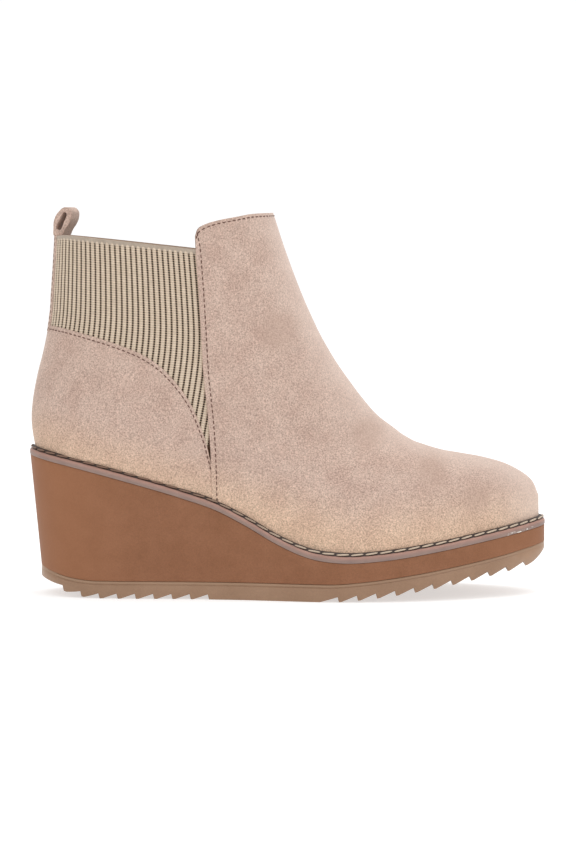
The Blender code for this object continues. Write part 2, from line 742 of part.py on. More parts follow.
def make_cutters(collection):
    made = {
        "upper with clearance": solid_form("upper with clearance", LAP + CLEARANCE, collection),
        "inside of the upper": solid_form("inside of the upper", -WALL - INSOLE_GAP, collection),
        "gore window": prism("gore window", gore_outline(), collection),
    }
    beyond = place(1.4, 0.0)[0]
    ceiling = 2 * (HEEL_HEIGHT + SHAFT_RISE)
    vamp = smooth_line(VAMP_EDGE)
    seam = smooth_line(VAMP_SEAM)
    collar = smooth_line(COLLAR_EDGE)
    counter = smooth_line(COUNTER_EDGE)
    behind = -LENGTH
    window = [(beyond, ceiling), (beyond, collar[0, 1] + CUT_MARGIN), *collar, *vamp, *counter[1:]]
    window += [(behind, counter[-1, 1]), (behind, ceiling)]
    made["collar and gore window"] = prism("collar and gore window", window, collection)
    under_window = vamp[: -2 * LINE_STEPS] - (LAP_MARGIN, 0)
    ahead = [(under_window[0, 0], ceiling), *under_window, *seam, (beyond, seam[-1, 1]), (beyond, ceiling)]
    made["front of the seam"] = prism("front of the seam", ahead, collection)
    lap = wall_form("vamp lap", LAP, -WALL / 2, collection)
    cut(lap, made["front of the seam"], "INTERSECT")
    made["vamp lap"] = lap
    x = np.linspace(-LENGTH / 2, LENGTH / 2, 61)
    z = sole_top(x) + CLEARANCE
    x[0] -= CUT_REACH
    x[-1] += CUT_REACH
    floor = [(x[0], -CUT_REACH), *zip(x, z), (x[-1], -CUT_REACH)]
    made["below the sole's top"] = prism("below the sole's top", floor, collection)
    for obj in made.values():
        obj.hide_render = True
        obj.display_type = "WIRE"
    return made


def finish_of(name, colour, roughness):
    made = bpy.data.materials.new(name)
    made.use_nodes = True
    shader = made.node_tree.nodes["Principled BSDF"]
    shader.inputs["Base Color"].default_value = (*colour, 1)
    shader.inputs["Roughness"].default_value = roughness
    shader.inputs["Metallic"].default_value = 0.0
    return made


def build():
    for obj in list(bpy.data.objects):
        bpy.data.objects.remove(obj)
    boot = bpy.data.collections.new("wedge ankle boot")
    helpers = bpy.data.collections.new("cutters")
    bpy.context.scene.collection.children.link(boot)
    bpy.context.scene.collection.children.link(helpers)
    cutters = make_cutters(helpers)
    outsole(boot, finish_of("outsole rubber", (0.33, 0.21, 0.13), 0.55))
    wedge(boot, finish_of("wedge foam", (0.36, 0.19, 0.10), 0.60))
    welt(boot, finish_of("welt", (0.36, 0.24, 0.21), 0.55), cutters)
    insole(boot, finish_of("insole", (0.55, 0.45, 0.36), 0.85), cutters)
    upper(boot, finish_of("suede", (0.60, 0.44, 0.36), 0.95), cutters)
    for side in SIDES:
        gore(side, boot, finish_of(f"elastic {side}", (0.52, 0.42, 0.32), 0.85), cutters)
    back_strip(boot, finish_of("back strip suede", (0.58, 0.42, 0.35), 0.95), cutters)
    pull_loop(boot, finish_of("pull loop suede", (0.58, 0.42, 0.35), 0.95))
    for obj in boot.objects:
        obj.data.shade_smooth()
        obj.data.set_sharp_from_angle(angle=math.radians(35))


build()
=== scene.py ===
import math

import bmesh
import bpy
import numpy as np
from mathutils import Matrix, Vector


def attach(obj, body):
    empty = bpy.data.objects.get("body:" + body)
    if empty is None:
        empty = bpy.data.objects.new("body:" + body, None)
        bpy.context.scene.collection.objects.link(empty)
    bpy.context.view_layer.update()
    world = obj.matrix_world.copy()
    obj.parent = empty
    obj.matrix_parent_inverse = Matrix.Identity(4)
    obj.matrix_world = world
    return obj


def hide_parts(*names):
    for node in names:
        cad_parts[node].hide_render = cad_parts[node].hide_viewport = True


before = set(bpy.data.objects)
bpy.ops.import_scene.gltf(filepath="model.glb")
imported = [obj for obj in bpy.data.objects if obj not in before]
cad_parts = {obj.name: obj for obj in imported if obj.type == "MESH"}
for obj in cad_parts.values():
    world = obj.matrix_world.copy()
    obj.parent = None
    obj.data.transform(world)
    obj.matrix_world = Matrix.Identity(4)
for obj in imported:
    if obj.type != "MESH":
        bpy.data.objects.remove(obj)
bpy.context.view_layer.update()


# The outsole is a moulded tan rubber sole, glued under the wedge. Sawtooth lugs run across the heel and
# the forefoot, and the arch between them is plain. A thin lip stands round its upper edge, with a painted
# highlight along it. Its heel and toe ends are painted paler, as light where the sole turns round them.
LENGTH = 0.250
BALL_WIDTH = 0.092
HEEL_WIDTH = 0.064
OUTSOLE_HEIGHT = 0.0083
TOE_SPRING = 0.0165
TOE_SPRING_START = 0.0200
TOE_SPRING_POWER = 1.4
TOE_ROLL = 0.0030
TOE_ROLL_LENGTH = 0.0080
HEEL_ROLL = 0.0090
HEEL_ROLL_LENGTH = 0.0290
HEEL_ROLL_THINNING = 0.35
HEEL_RAKE = 0.0052
OUTSOLE_LIP = 0.0006
OUTSOLE_LIP_HEIGHT = 0.0016
OUTSOLE_EDGE = 0.0003
LUG_DEPTH = 0.0024
LUG_LAND = 0.0012
LUG_STEEP_RUN = 0.0006
HEEL_LUGS = 8
HEEL_LUG_PITCH = 0.00875
TOE_LUGS = 11
TOE_LUG_PITCH = 0.00905
ARCH_START = -0.0377
ARCH_END = 0.0150
END_TURN = 0.03
SOLE_STEPS = 150
MERGE_DISTANCE = 4e-6
SIDES = {"lateral": -1, "medial": 1}


def table(names, *rows):
    """A short table read by column name."""
    return dict(zip(names.split(), np.array(rows, float).T))


# The sole seen from above: half-widths are shares of the width at that place.
PLAN = table(
    "along  lateral  medial",
    (0.000, 0.000, 0.000),
    (0.012, 0.194, 0.194),
    (0.044, 0.338, 0.338),
    (0.104, 0.430, 0.425),
    (0.200, 0.477, 0.461),
    (0.300, 0.468, 0.443),
    (0.400, 0.455, 0.391),
    (0.500, 0.474, 0.394),
    (0.600, 0.500, 0.451),
    (0.680, 0.487, 0.491),
    (0.760, 0.440, 0.487),
    (0.840, 0.356, 0.440),
    (0.910, 0.258, 0.346),
    (0.960, 0.146, 0.252),
    (0.990, 0.046, 0.152),
    (1.000, -0.054, 0.054),
)


def spline(xs, ys, at):
    """A smooth curve through the points of two columns, read at one or more places."""
    slopes = np.gradient(ys, xs)
    i = np.clip(np.searchsorted(xs, at) - 1, 0, len(xs) - 2)
    step = xs[i + 1] - xs[i]
    t = np.clip((at - xs[i]) / step, 0, 1)
    rise = t * t * (3 - 2 * t)
    bend = t * (1 - t) ** 2 * step * slopes[i] - t * t * (1 - t) * step * slopes[i + 1]
    return ys[i] * (1 - rise) + ys[i + 1] * rise + bend


def x_at(along, rake=0.0):
    return -LENGTH / 2 + rake + along * (LENGTH - rake)


def turn_of(along):
    return np.arccos(1 - 2 * np.clip(along, 0, 1))


def along_of(turn):
    return (1 - np.cos(turn)) / 2


def half_width(turn, side):
    blend = np.clip((along_of(turn) - 0.2) / 0.4, 0, 1)
    width = HEEL_WIDTH + (BALL_WIDTH - HEEL_WIDTH) * blend * blend * (3 - 2 * blend)
    return width * spline(turn_of(PLAN["along"]), PLAN[side], turn)


def plan_side(inset, side, count=181):
    """One side of the sole's outline from heel to toe, moved inwards by an even distance."""
    turn = np.linspace(0, math.pi, count)
    x = x_at(along_of(turn))
    y = SIDES[side] * half_width(turn, side)
    dx = np.gradient(x, turn)
    dy = np.gradient(y, turn)
    dx[0] = dx[-1] = 0
    reach = np.hypot(dx, dy)
    return x + SIDES[side] * inset * dy / reach, y - SIDES[side] * inset * dx / reach


def heel_roll(x):
    start = x_at(0, HEEL_RAKE)
    return HEEL_ROLL * np.clip((start + HEEL_ROLL_LENGTH - x) / HEEL_ROLL_LENGTH, 0, 1) ** 2


def ground_line(x):
    """The lowest line of the outsole: flat, rolled up at the heel and sprung at the toe."""
    toe = x_at(1)
    spring = TOE_SPRING * np.clip((x - TOE_SPRING_START) / (toe - TOE_SPRING_START), 0, 1) ** TOE_SPRING_POWER
    roll = TOE_ROLL * np.clip((x - toe + TOE_ROLL_LENGTH) / TOE_ROLL_LENGTH, 0, 1) ** 2
    return heel_roll(x) + spring + roll


def outsole_top(x):
    roll = TOE_ROLL * np.clip((x - x_at(1) + TOE_ROLL_LENGTH) / TOE_ROLL_LENGTH, 0, 1) ** 2
    return ground_line(x) - roll + OUTSOLE_HEIGHT - HEEL_ROLL_THINNING * heel_roll(x)


def lug_profile():
    """Places along the sole and heights above the ground line where the tread changes slope."""
    stops = [(x_at(0, HEEL_RAKE), 0.0)]
    for k in range(HEEL_LUGS, 0, -1):
        tip = ARCH_START - k * HEEL_LUG_PITCH
        stops += [(tip - LUG_STEEP_RUN, LUG_DEPTH), (tip, 0.0), (tip + LUG_LAND, 0.0)]
    stops += [(ARCH_START - LUG_STEEP_RUN, LUG_DEPTH), (ARCH_START, 0.0), (ARCH_END, 0.0)]
    for k in range(1, TOE_LUGS + 1):
        tip = ARCH_END + k * TOE_LUG_PITCH
        stops += [(tip - LUG_STEEP_RUN, LUG_DEPTH), (tip, 0.0), (tip + LUG_LAND, 0.0)]
    stops.append((x_at(1), LUG_DEPTH))
    return np.array(stops)


def make_piece(name, points, faces, uv=None, smooth_angle=40):
    """A mesh of points and faces with its doubles merged, its normals facing out and its own UV map."""
    mesh = bpy.data.meshes.new(name)
    mesh.from_pydata([tuple(point) for point in points], [], faces)
    if uv is not None:
        layer = mesh.uv_layers.new(name="UVMap")
        index = np.empty(len(mesh.loops), int)
        mesh.loops.foreach_get("vertex_index", index)
        layer.data.foreach_set("uv", np.asarray(uv, float)[index].ravel())
    clean(mesh)
    piece = bpy.data.objects.new(name, mesh)
    bpy.context.scene.collection.objects.link(piece)
    pick(piece)
    bpy.ops.object.shade_smooth_by_angle(angle=math.radians(smooth_angle))
    return piece


def clean(mesh):
    bm = bmesh.new()
    bm.from_mesh(mesh)
    bmesh.ops.remove_doubles(bm, verts=bm.verts, dist=MERGE_DISTANCE)
    bmesh.ops.recalc_face_normals(bm, faces=bm.faces)
    bm.to_mesh(mesh)
    bm.free()


def pick(piece):
    bpy.ops.object.select_all(action="DESELECT")
    piece.select_set(True)
    bpy.context.view_layer.objects.active = piece


def grid_faces(rows, columns, start=0, wrap=False):
    """Faces of a grid of points, closed round its rows if asked."""
    faces = []
    for i in range(rows if wrap else rows - 1):
        below = (i + 1) % rows
        for j in range(columns - 1):
            a = start + i * columns + j
            b = start + below * columns + j
            faces.append((a, a + 1, b + 1, b))
    return faces


def ladder(name, rings, uv):
    """A skin over a row of equal rings, with both end rings filled."""
    count = len(rings[0])
    closed = [[*ring, ring[0]] for ring in rings]
    closed_uv = [[*row, row[0]] for row in uv]
    faces = grid_faces(len(rings), count + 1)
    faces.append(tuple(range(count)))
    last = (len(rings) - 1) * (count + 1)
    faces.append(tuple(range(last, last + count)))
    points = [point for ring in closed for point in ring]
    return make_piece(name, points, faces, [pair for row in closed_uv for pair in row])


def tone_group():
    """Cloudy change between two tones, with a finer speckle over it."""
    group = bpy.data.node_groups.new("cloudy tones", "ShaderNodeTree")
    for name, kind in (("Tone A", "Color"), ("Tone B", "Color"), ("Cloud Scale", "Float"),
                       ("Speckle Scale", "Float"), ("Speckle", "Float")):
        group.interface.new_socket(name=name, in_out="INPUT", socket_type="NodeSocket" + kind)
    group.interface.new_socket(name="Color", in_out="OUTPUT", socket_type="NodeSocketColor")
    nodes, links = group.nodes, group.links
    given = nodes.new("NodeGroupInput")
    out = nodes.new("NodeGroupOutput")
    place_in = nodes.new("ShaderNodeTexCoord")
    cloud = nodes.new("ShaderNodeTexNoise")
    cloud.inputs["Detail"].default_value = 5
    cloud.inputs["Roughness"].default_value = 0.6
    links.new(place_in.outputs["Object"], cloud.inputs["Vector"])
    links.new(given.outputs["Cloud Scale"], cloud.inputs["Scale"])
    spread = nodes.new("ShaderNodeMapRange")
    spread.inputs["From Min"].default_value = 0.36
    spread.inputs["From Max"].default_value = 0.64
    links.new(cloud.outputs["Fac"], spread.inputs["Value"])
    tones = nodes.new("ShaderNodeMix")
    tones.data_type = "RGBA"
    links.new(spread.outputs["Result"], tones.inputs["Factor"])
    links.new(given.outputs["Tone A"], tones.inputs[6])
    links.new(given.outputs["Tone B"], tones.inputs[7])
    fine = nodes.new("ShaderNodeTexNoise")
    fine.inputs["Detail"].default_value = 3
    fine.inputs["Roughness"].default_value = 0.7
    links.new(place_in.outputs["Object"], fine.inputs["Vector"])
    links.new(given.outputs["Speckle Scale"], fine.inputs["Scale"])
    centred = nodes.new("ShaderNodeMath")
    centred.operation = "SUBTRACT"
    centred.inputs[1].default_value = 0.5
    links.new(fine.outputs["Fac"], centred.inputs[0])
    scaled = nodes.new("ShaderNodeMath")
    scaled.operation = "MULTIPLY_ADD"
    scaled.inputs[2].default_value = 1.0
    links.new(centred.outputs["Value"], scaled.inputs[0])
    links.new(given.outputs["Speckle"], scaled.inputs[1])
    value = nodes.new("ShaderNodeHueSaturation")
    links.new(tones.outputs[2], value.inputs["Color"])
    links.new(scaled.outputs["Value"], value.inputs["Value"])
    links.new(value.outputs["Color"], out.inputs["Color"])
    return group


def grain_group():
    """Height of a fine grain: rounded cells broken up by noise."""
    group = bpy.data.node_groups.new("fine grain", "ShaderNodeTree")
    group.interface.new_socket(name="Scale", in_out="INPUT", socket_type="NodeSocketFloat")
    group.interface.new_socket(name="Height", in_out="OUTPUT", socket_type="NodeSocketFloat")
    nodes, links = group.nodes, group.links
    given = nodes.new("NodeGroupInput")
    out = nodes.new("NodeGroupOutput")
    place_in = nodes.new("ShaderNodeTexCoord")
    cells = nodes.new("ShaderNodeTexVoronoi")
    cells.inputs["Randomness"].default_value = 1.0
    noise = nodes.new("ShaderNodeTexNoise")
    noise.inputs["Detail"].default_value = 4
    noise.inputs["Distortion"].default_value = 0.8
    for texture in (cells, noise):
        links.new(place_in.outputs["Object"], texture.inputs["Vector"])
        links.new(given.outputs["Scale"], texture.inputs["Scale"])
    both = nodes.new("ShaderNodeMath")
    both.operation = "MULTIPLY_ADD"
    both.inputs[1].default_value = 0.5
    links.new(cells.outputs["Distance"], both.inputs[0])
    links.new(noise.outputs["Fac"], both.inputs[2])
    links.new(both.outputs["Value"], out.inputs["Height"])
    return group


CLOUDY_TONES = tone_group()
FINE_GRAIN = grain_group()


class Finish:
    """A material being put together: its nodes, its links and its shader."""

    def __init__(self, name, roughness):
        self.material = bpy.data.materials.new(name)
        self.material.use_nodes = True
        self.nodes = self.material.node_tree.nodes
        self.links = self.material.node_tree.links
        self.shader = self.nodes["Principled BSDF"]
        self.shader.inputs["Roughness"].default_value = roughness

    def tones(self, tone_a, tone_b, cloud, speckle, strength):
        """Cloudy colour, with scales given as sizes in metres."""
        node = self.nodes.new("ShaderNodeGroup")
        node.node_tree = CLOUDY_TONES
        node.inputs["Tone A"].default_value = (*linear(tone_a), 1)
        node.inputs["Tone B"].default_value = (*linear(tone_b), 1)
        node.inputs["Cloud Scale"].default_value = 1 / cloud
        node.inputs["Speckle Scale"].default_value = 1 / speckle
        node.inputs["Speckle"].default_value = strength
        return node.outputs["Color"]

    def mix(self, factor, first, second):
        node = self.nodes.new("ShaderNodeMix")
        node.data_type = "RGBA"
        self.links.new(factor, node.inputs["Factor"])
        for value, socket in ((first, node.inputs[6]), (second, node.inputs[7])):
            if isinstance(value, tuple):
                socket.default_value = (*linear(value), 1)
            else:
                self.links.new(value, socket)
        return node.outputs[2]

    def math(self, operation, *values):
        node = self.nodes.new("ShaderNodeMath")
        node.operation = operation
        for value, socket in zip(values, node.inputs):
            if isinstance(value, (int, float)):
                socket.default_value = value
            else:
                self.links.new(value, socket)
        return node.outputs["Value"]

    def between(self, value, low, high):
        """0 below low, 1 above high, smooth between."""
        node = self.nodes.new("ShaderNodeMapRange")
        node.interpolation_type = "SMOOTHSTEP"
        node.inputs["From Min"].default_value = low
        node.inputs["From Max"].default_value = high
        self.links.new(value, node.inputs["Value"])
        return node.outputs["Result"]

    def part_of(self, source, axis):
        node = self.nodes.new("ShaderNodeTexCoord")
        split = self.nodes.new("ShaderNodeSeparateXYZ")
        self.links.new(node.outputs[source], split.inputs["Vector"])
        return split.outputs[axis]

    def grain(self, size):
        node = self.nodes.new("ShaderNodeGroup")
        node.node_tree = FINE_GRAIN
        node.inputs["Scale"].default_value = 1 / size
        return node.outputs["Height"]

    def bump(self, height, distance, strength=1.0):
        node = self.nodes.new("ShaderNodeBump")
        node.inputs["Distance"].default_value = distance
        node.inputs["Strength"].default_value = strength
        self.links.new(height, node.inputs["Height"])
        self.links.new(node.outputs["Normal"], self.shader.inputs["Normal"])

    def colour(self, value):
        self.links.new(value, self.shader.inputs["Base Color"])


def linear(colour):
    """Linear values of a colour given in the 0 to 255 steps of a screen."""
    return tuple((c / 255 / 12.92) if c < 11 else ((c / 255 + 0.055) / 1.055) ** 2.4 for c in colour)


def rubber_finish():
    finish = Finish("tan rubber", 0.46)
    body = finish.tones((152, 119, 93), (143, 110, 84), 0.020, 0.0007, 0.40)
    # Painted light: the heel and toe ends of the sole are mixed paler, where the rubber turns round them.
    along = finish.part_of("Object", "X")
    heel = finish.between(finish.math("MULTIPLY", along, -1), 0.108, 0.122)
    ends = finish.math("MAXIMUM", finish.between(along, 0.100, 0.124), heel)
    painted_paler = finish.mix(finish.math("MULTIPLY", ends, 0.5), body, (176, 142, 116))
    # Painted highlight: a paler band along the top lip of the outsole.
    rim = finish.between(finish.part_of("UV", "Y"), 0.80, 0.93)
    finish.colour(finish.mix(finish.math("MULTIPLY", rim, 0.40), painted_paler, (174, 144, 118)))
    finish.bump(finish.grain(0.0009), 0.00006, 0.5)
    finish.shader.inputs["Coat Weight"].default_value = 0.08
    finish.shader.inputs["Coat Roughness"].default_value = 0.35
    return finish.material


def outsole():
    lugs = lug_profile()
    start = x_at(0, HEEL_RAKE)
    length = LENGTH - HEEL_RAKE
    turns = np.linspace(END_TURN, math.pi - END_TURN, SOLE_STEPS)
    even = start + along_of(turns) * length
    breaks = lugs[1:-1, 0]
    even = even[np.abs(even[:, None] - breaks).min(1) > 0.0003]
    rings, uv = [], []
    for x in np.sort(np.concatenate([even, breaks])):
        turn = turn_of((x - start) / length)
        top = outsole_top(x)
        bottom = ground_line(x) + np.interp(x, lugs[:, 0], lugs[:, 1])
        lip = top - OUTSOLE_LIP_HEIGHT
        edge = OUTSOLE_EDGE
        half = [
            (OUTSOLE_LIP + edge, top, 1.0),
            (OUTSOLE_LIP, top - edge, 0.95),
            (OUTSOLE_LIP, lip + edge, 0.85),
            (edge, lip, 0.8),
            (0, lip - edge, 0.75),
            (0, (lip + bottom) / 2, 0.5),
            (0, bottom + edge, 0.1),
            (edge, bottom, 0.0),
        ]
        lateral, medial = (SIDES[side] * half_width(turn, side) for side in SIDES)
        near = [(x, lateral + out, z) for out, z, _ in half]
        far = [(x, medial - out, z) for out, z, _ in half[::-1]]
        rings.append(near + far)
        uv.append([(x, v) for _, _, v in half] + [(x, v) for _, _, v in half[::-1]])
    piece = ladder("rubber_outsole", rings, uv)
    piece.data.materials.append(rubber_finish())
    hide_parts("outsole")
    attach(piece, "root")


outsole()


# The wedge is the midsole: one block of brown moulded foam that runs from a high heel into a thin platform.
# Its skin is matt with a very fine speckle, and its back leans in to the outsole. It is painted lighter and
# warmer round the heel and the toe, as light where the wedge turns round its ends.
HEEL_HEIGHT = 0.0676
CLEARANCE = 0.0003
SOLE_TOP = table(
    "along  up",
    (0.00, 1.000),
    (0.10, 0.916),
    (0.20, 0.818),
    (0.30, 0.710),
    (0.36, 0.635),
    (0.42, 0.524),
    (0.48, 0.398),
    (0.54, 0.306),
    (0.60, 0.274),
    (0.68, 0.288),
    (0.78, 0.340),
    (0.90, 0.420),
    (1.00, 0.488),
)


def sole_top(x):
    return HEEL_HEIGHT * spline(SOLE_TOP["along"], SOLE_TOP["up"], np.clip(x / LENGTH + 0.5, 0, 1))


def foam_finish():
    finish = Finish("brown foam", 0.62)
    body = finish.tones((141, 95, 67), (133, 88, 60), 0.012, 0.0007, 0.60)
    along = finish.part_of("Object", "X")
    # Painted light: a lighter, warmer tone towards the heel and toe ends of the wedge.
    heel = finish.math("MULTIPLY", finish.between(finish.math("MULTIPLY", along, -1), 0.060, 0.118), 0.55)
    toe = finish.math("MULTIPLY", finish.between(along, 0.070, 0.124), 0.35)
    warm = finish.mix(finish.math("MAXIMUM", heel, toe), body, (155, 104, 71))
    finish.colour(warm)
    finish.bump(finish.grain(0.0006), 0.00005, 0.45)
    finish.shader.inputs["Specular IOR Level"].default_value = 0.30
    return finish.material


def wedge():
    heights = np.array([0.0, 0.010, 0.03, 0.12, 0.3, 0.5, 0.7, 0.88, 0.97, 0.99, 1.0])
    tucks = np.array([0.0004, 0.0001, 0, 0, 0, 0, 0, 0, 0, 0.0001, 0.0004])
    rings, uv = [], []
    for turn in np.linspace(END_TURN, math.pi - END_TURN, SOLE_STEPS):
        along = along_of(turn)
        lateral, medial = (SIDES[side] * half_width(turn, side) for side in SIDES)
        top, foot = x_at(along), x_at(along, HEEL_RAKE)
        low = outsole_top(foot) + CLEARANCE / 3
        x = foot + (top - foot) * heights
        z = low + (sole_top(top) - low) * heights
        near = [(a, lateral + tuck, b) for a, tuck, b in zip(x, tucks, z)]
        far = [(a, medial - tuck, b) for a, tuck, b in zip(x, tucks, z)]
        rings.append(near + far[::-1])
        uv.append([(top, v) for v in heights] + [(top, v) for v in heights[::-1]])
    piece = ladder("foam_wedge", rings, uv)
    piece.data.materials.append(foam_finish())
    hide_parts("wedge")
    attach(piece, "root")


wedge()


# The welt is a taupe strip laid round the foot of the upper and stitched to the wedge with long pale
# stitches, which lie in a groove against the suede. The groove's dark tone is painted shadow, and the
# stitches are painted darker towards the heel as shade. Its lower edge shows a smear of glue by the toe.
WELT_WIDTH = 0.0033
WELT_PROFILE = table(
    "inset  up  shade",
    (0.0000, 0.0001, 0.00),
    (-0.0002, 0.0006, 0.10),
    (-0.0002, 0.0020, 0.30),
    (0.0000, 0.0026, 0.42),
    (0.0003, 0.0030, 0.50),
    (0.0006, 0.0031, 0.60),
    (0.0009, 0.0034, 0.75),
    (0.0013, 0.0044, 0.90),
    (0.0019, 0.0049, 1.00),
    (0.0042, 0.0049, 1.00),
    (0.0042, 0.0001, 1.00),
)
WELT_STITCH_PITCH = 0.0068
WELT_STITCH_LENGTH = 0.0060
WELT_STITCH_RADIUS = 0.00044


def plan_loop(inset, count):
    """The whole outline from the heel round the outer side to the toe and back along the inner side."""
    lateral = np.stack(plan_side(inset, "lateral", count), -1)
    medial = np.stack(plan_side(inset, "medial", count), -1)
    return np.concatenate([lateral, medial[-2:0:-1]])


def welt_finish():
    finish = Finish("taupe welt", 0.55)
    across = finish.part_of("UV", "Y")
    along = finish.part_of("Object", "X")
    face = finish.tones((146, 122, 112), (134, 112, 104), 0.010, 0.0006, 0.18)
    ledge = finish.tones((174, 134, 120), (160, 122, 109), 0.008, 0.0006, 0.18)
    banded = finish.mix(finish.between(across, 0.12, 0.46), face, ledge)
    # Painted shadow: the dark band of the groove between the welt and the suede.
    groove = finish.mix(finish.between(across, 0.58, 0.70), banded, (54, 38, 30))
    smear = finish.nodes.new("ShaderNodeTexNoise")
    smear.inputs["Scale"].default_value = 800
    smear.inputs["Detail"].default_value = 4
    stretch = finish.nodes.new("ShaderNodeMapping")
    stretch.inputs["Scale"].default_value = (0.35, 1, 1.6)
    coords = finish.nodes.new("ShaderNodeTexCoord")
    finish.links.new(coords.outputs["Object"], stretch.inputs["Vector"])
    finish.links.new(stretch.outputs["Vector"], smear.inputs["Vector"])
    blot = finish.between(smear.outputs["Fac"], 0.52, 0.60)
    past = finish.between(along, 0.117, 0.120)
    near_toe = finish.math("SUBTRACT", finish.between(along, 0.104, 0.108), past)
    low = finish.math("SUBTRACT", 1.0, finish.between(across, 0.10, 0.24))
    glue = finish.math("MULTIPLY", finish.math("MULTIPLY", near_toe, low), blot)
    finish.colour(finish.mix(glue, groove, (232, 226, 218)))
    finish.bump(finish.grain(0.0008), 0.00008, 0.5)
    return finish.material


def thread_mesh():
    """One stitch: a short round bar with drawn-in ends, one unit long and one unit in radius."""
    bpy.ops.object.select_all(action="DESELECT")
    bpy.ops.mesh.primitive_uv_sphere_add(segments=8, ring_count=6, radius=1)
    drawn = bpy.context.active_object
    points = np.array([v.co for v in drawn.data.vertices])
    faces = [tuple(face.vertices) for face in drawn.data.polygons]
    bpy.data.objects.remove(drawn)
    reach = np.sign(points[:, 2]) * np.abs(points[:, 2]) ** 0.55 / 2
    return np.stack([reach, points[:, 0], points[:, 1]], -1), faces


THREAD = thread_mesh()


def stitch_row(name, line, normals, pitch, length, radius, finish, slant=0.0, lift=0.3):
    """A row of stitches along a line on a surface, joined into one piece."""
    base, base_faces = THREAD
    reach = np.concatenate([[0], np.cumsum(np.linalg.norm(np.diff(line, axis=0), axis=1))])
    count = int(reach[-1] / pitch)
    points, faces = [], []
    for k in range(count):
        middle = (k + 0.5) * reach[-1] / count
        at = [np.interp(middle, reach, line[:, a]) for a in range(3)]
        ahead = [np.interp(middle + length / 2, reach, line[:, a]) for a in range(3)]
        behind = [np.interp(middle - length / 2, reach, line[:, a]) for a in range(3)]
        up = np.array([np.interp(middle, reach, normals[:, a]) for a in range(3)])
        run = np.array(ahead) - np.array(behind)
        run /= np.linalg.norm(run)
        up -= run * up.dot(run)
        up /= np.linalg.norm(up)
        across = np.cross(up, run)
        run = run * math.cos(slant) + across * math.sin(slant)
        across = np.cross(up, run)
        size = np.array([length, radius, radius])
        local = base * size
        local[:, 2] *= 0.8
        placed = np.array(at) + up * radius * lift + local @ np.stack([run, across, up])
        faces += [tuple(len(points) + v for v in face) for face in base_faces]
        points += list(placed)
    piece = make_piece(name, points, faces, smooth_angle=70)
    piece.data.materials.append(finish)
    return piece


def thread_finish(name, dark, pale=None, fade=(0, 1)):
    """Twisted thread. Its tone may change along the boot."""
    finish = Finish(name, 0.7)
    if pale:
        along = finish.part_of("Object", "X")
        finish.colour(finish.mix(finish.between(along, *fade), dark, pale))
    else:
        finish.colour(finish.tones(dark, tuple(c * 0.85 for c in dark), 0.002, 0.0003, 0.3))
    finish.bump(finish.grain(0.0003), 0.00005, 0.6)
    return finish.material


def welt():
    count = 181
    loops = [plan_loop(inset, count) for inset in WELT_PROFILE["inset"]]
    rows = len(loops[0])
    columns = len(loops)
    points, uv = [], []
    for k in range(rows):
        for j in range(columns):
            x, y = loops[j][k]
            points.append((x, y, sole_top(x) + WELT_PROFILE["up"][j]))
            uv.append((k / rows, WELT_PROFILE["shade"][j]))
        points.append(points[-columns])
        uv.append(uv[-columns])
    piece = make_piece("welt_strip", points, grid_faces(rows, columns + 1, wrap=True), uv, 50)
    piece.data.materials.append(welt_finish())
    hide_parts("welt")
    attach(piece, "root")
    x, y = plan_loop(0.0008, 721).T
    line = np.stack([x, y, sole_top(x) + 0.0041], -1)
    inner_x, inner_y = plan_loop(0.0035, 721).T
    normals = np.stack([x - inner_x, y - inner_y, np.full(len(x), 0.0012)], -1)
    # Painted shade: the welt stitches darken from the toe towards the heel.
    pale = thread_finish("welt thread", (122, 94, 78), (192, 174, 154), (-0.060, 0.030))
    sizes = (WELT_STITCH_PITCH, WELT_STITCH_LENGTH, WELT_STITCH_RADIUS)
    row = stitch_row("welt_stitches", line, normals, *sizes, pale, 0.07)
    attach(row, "root")


welt()


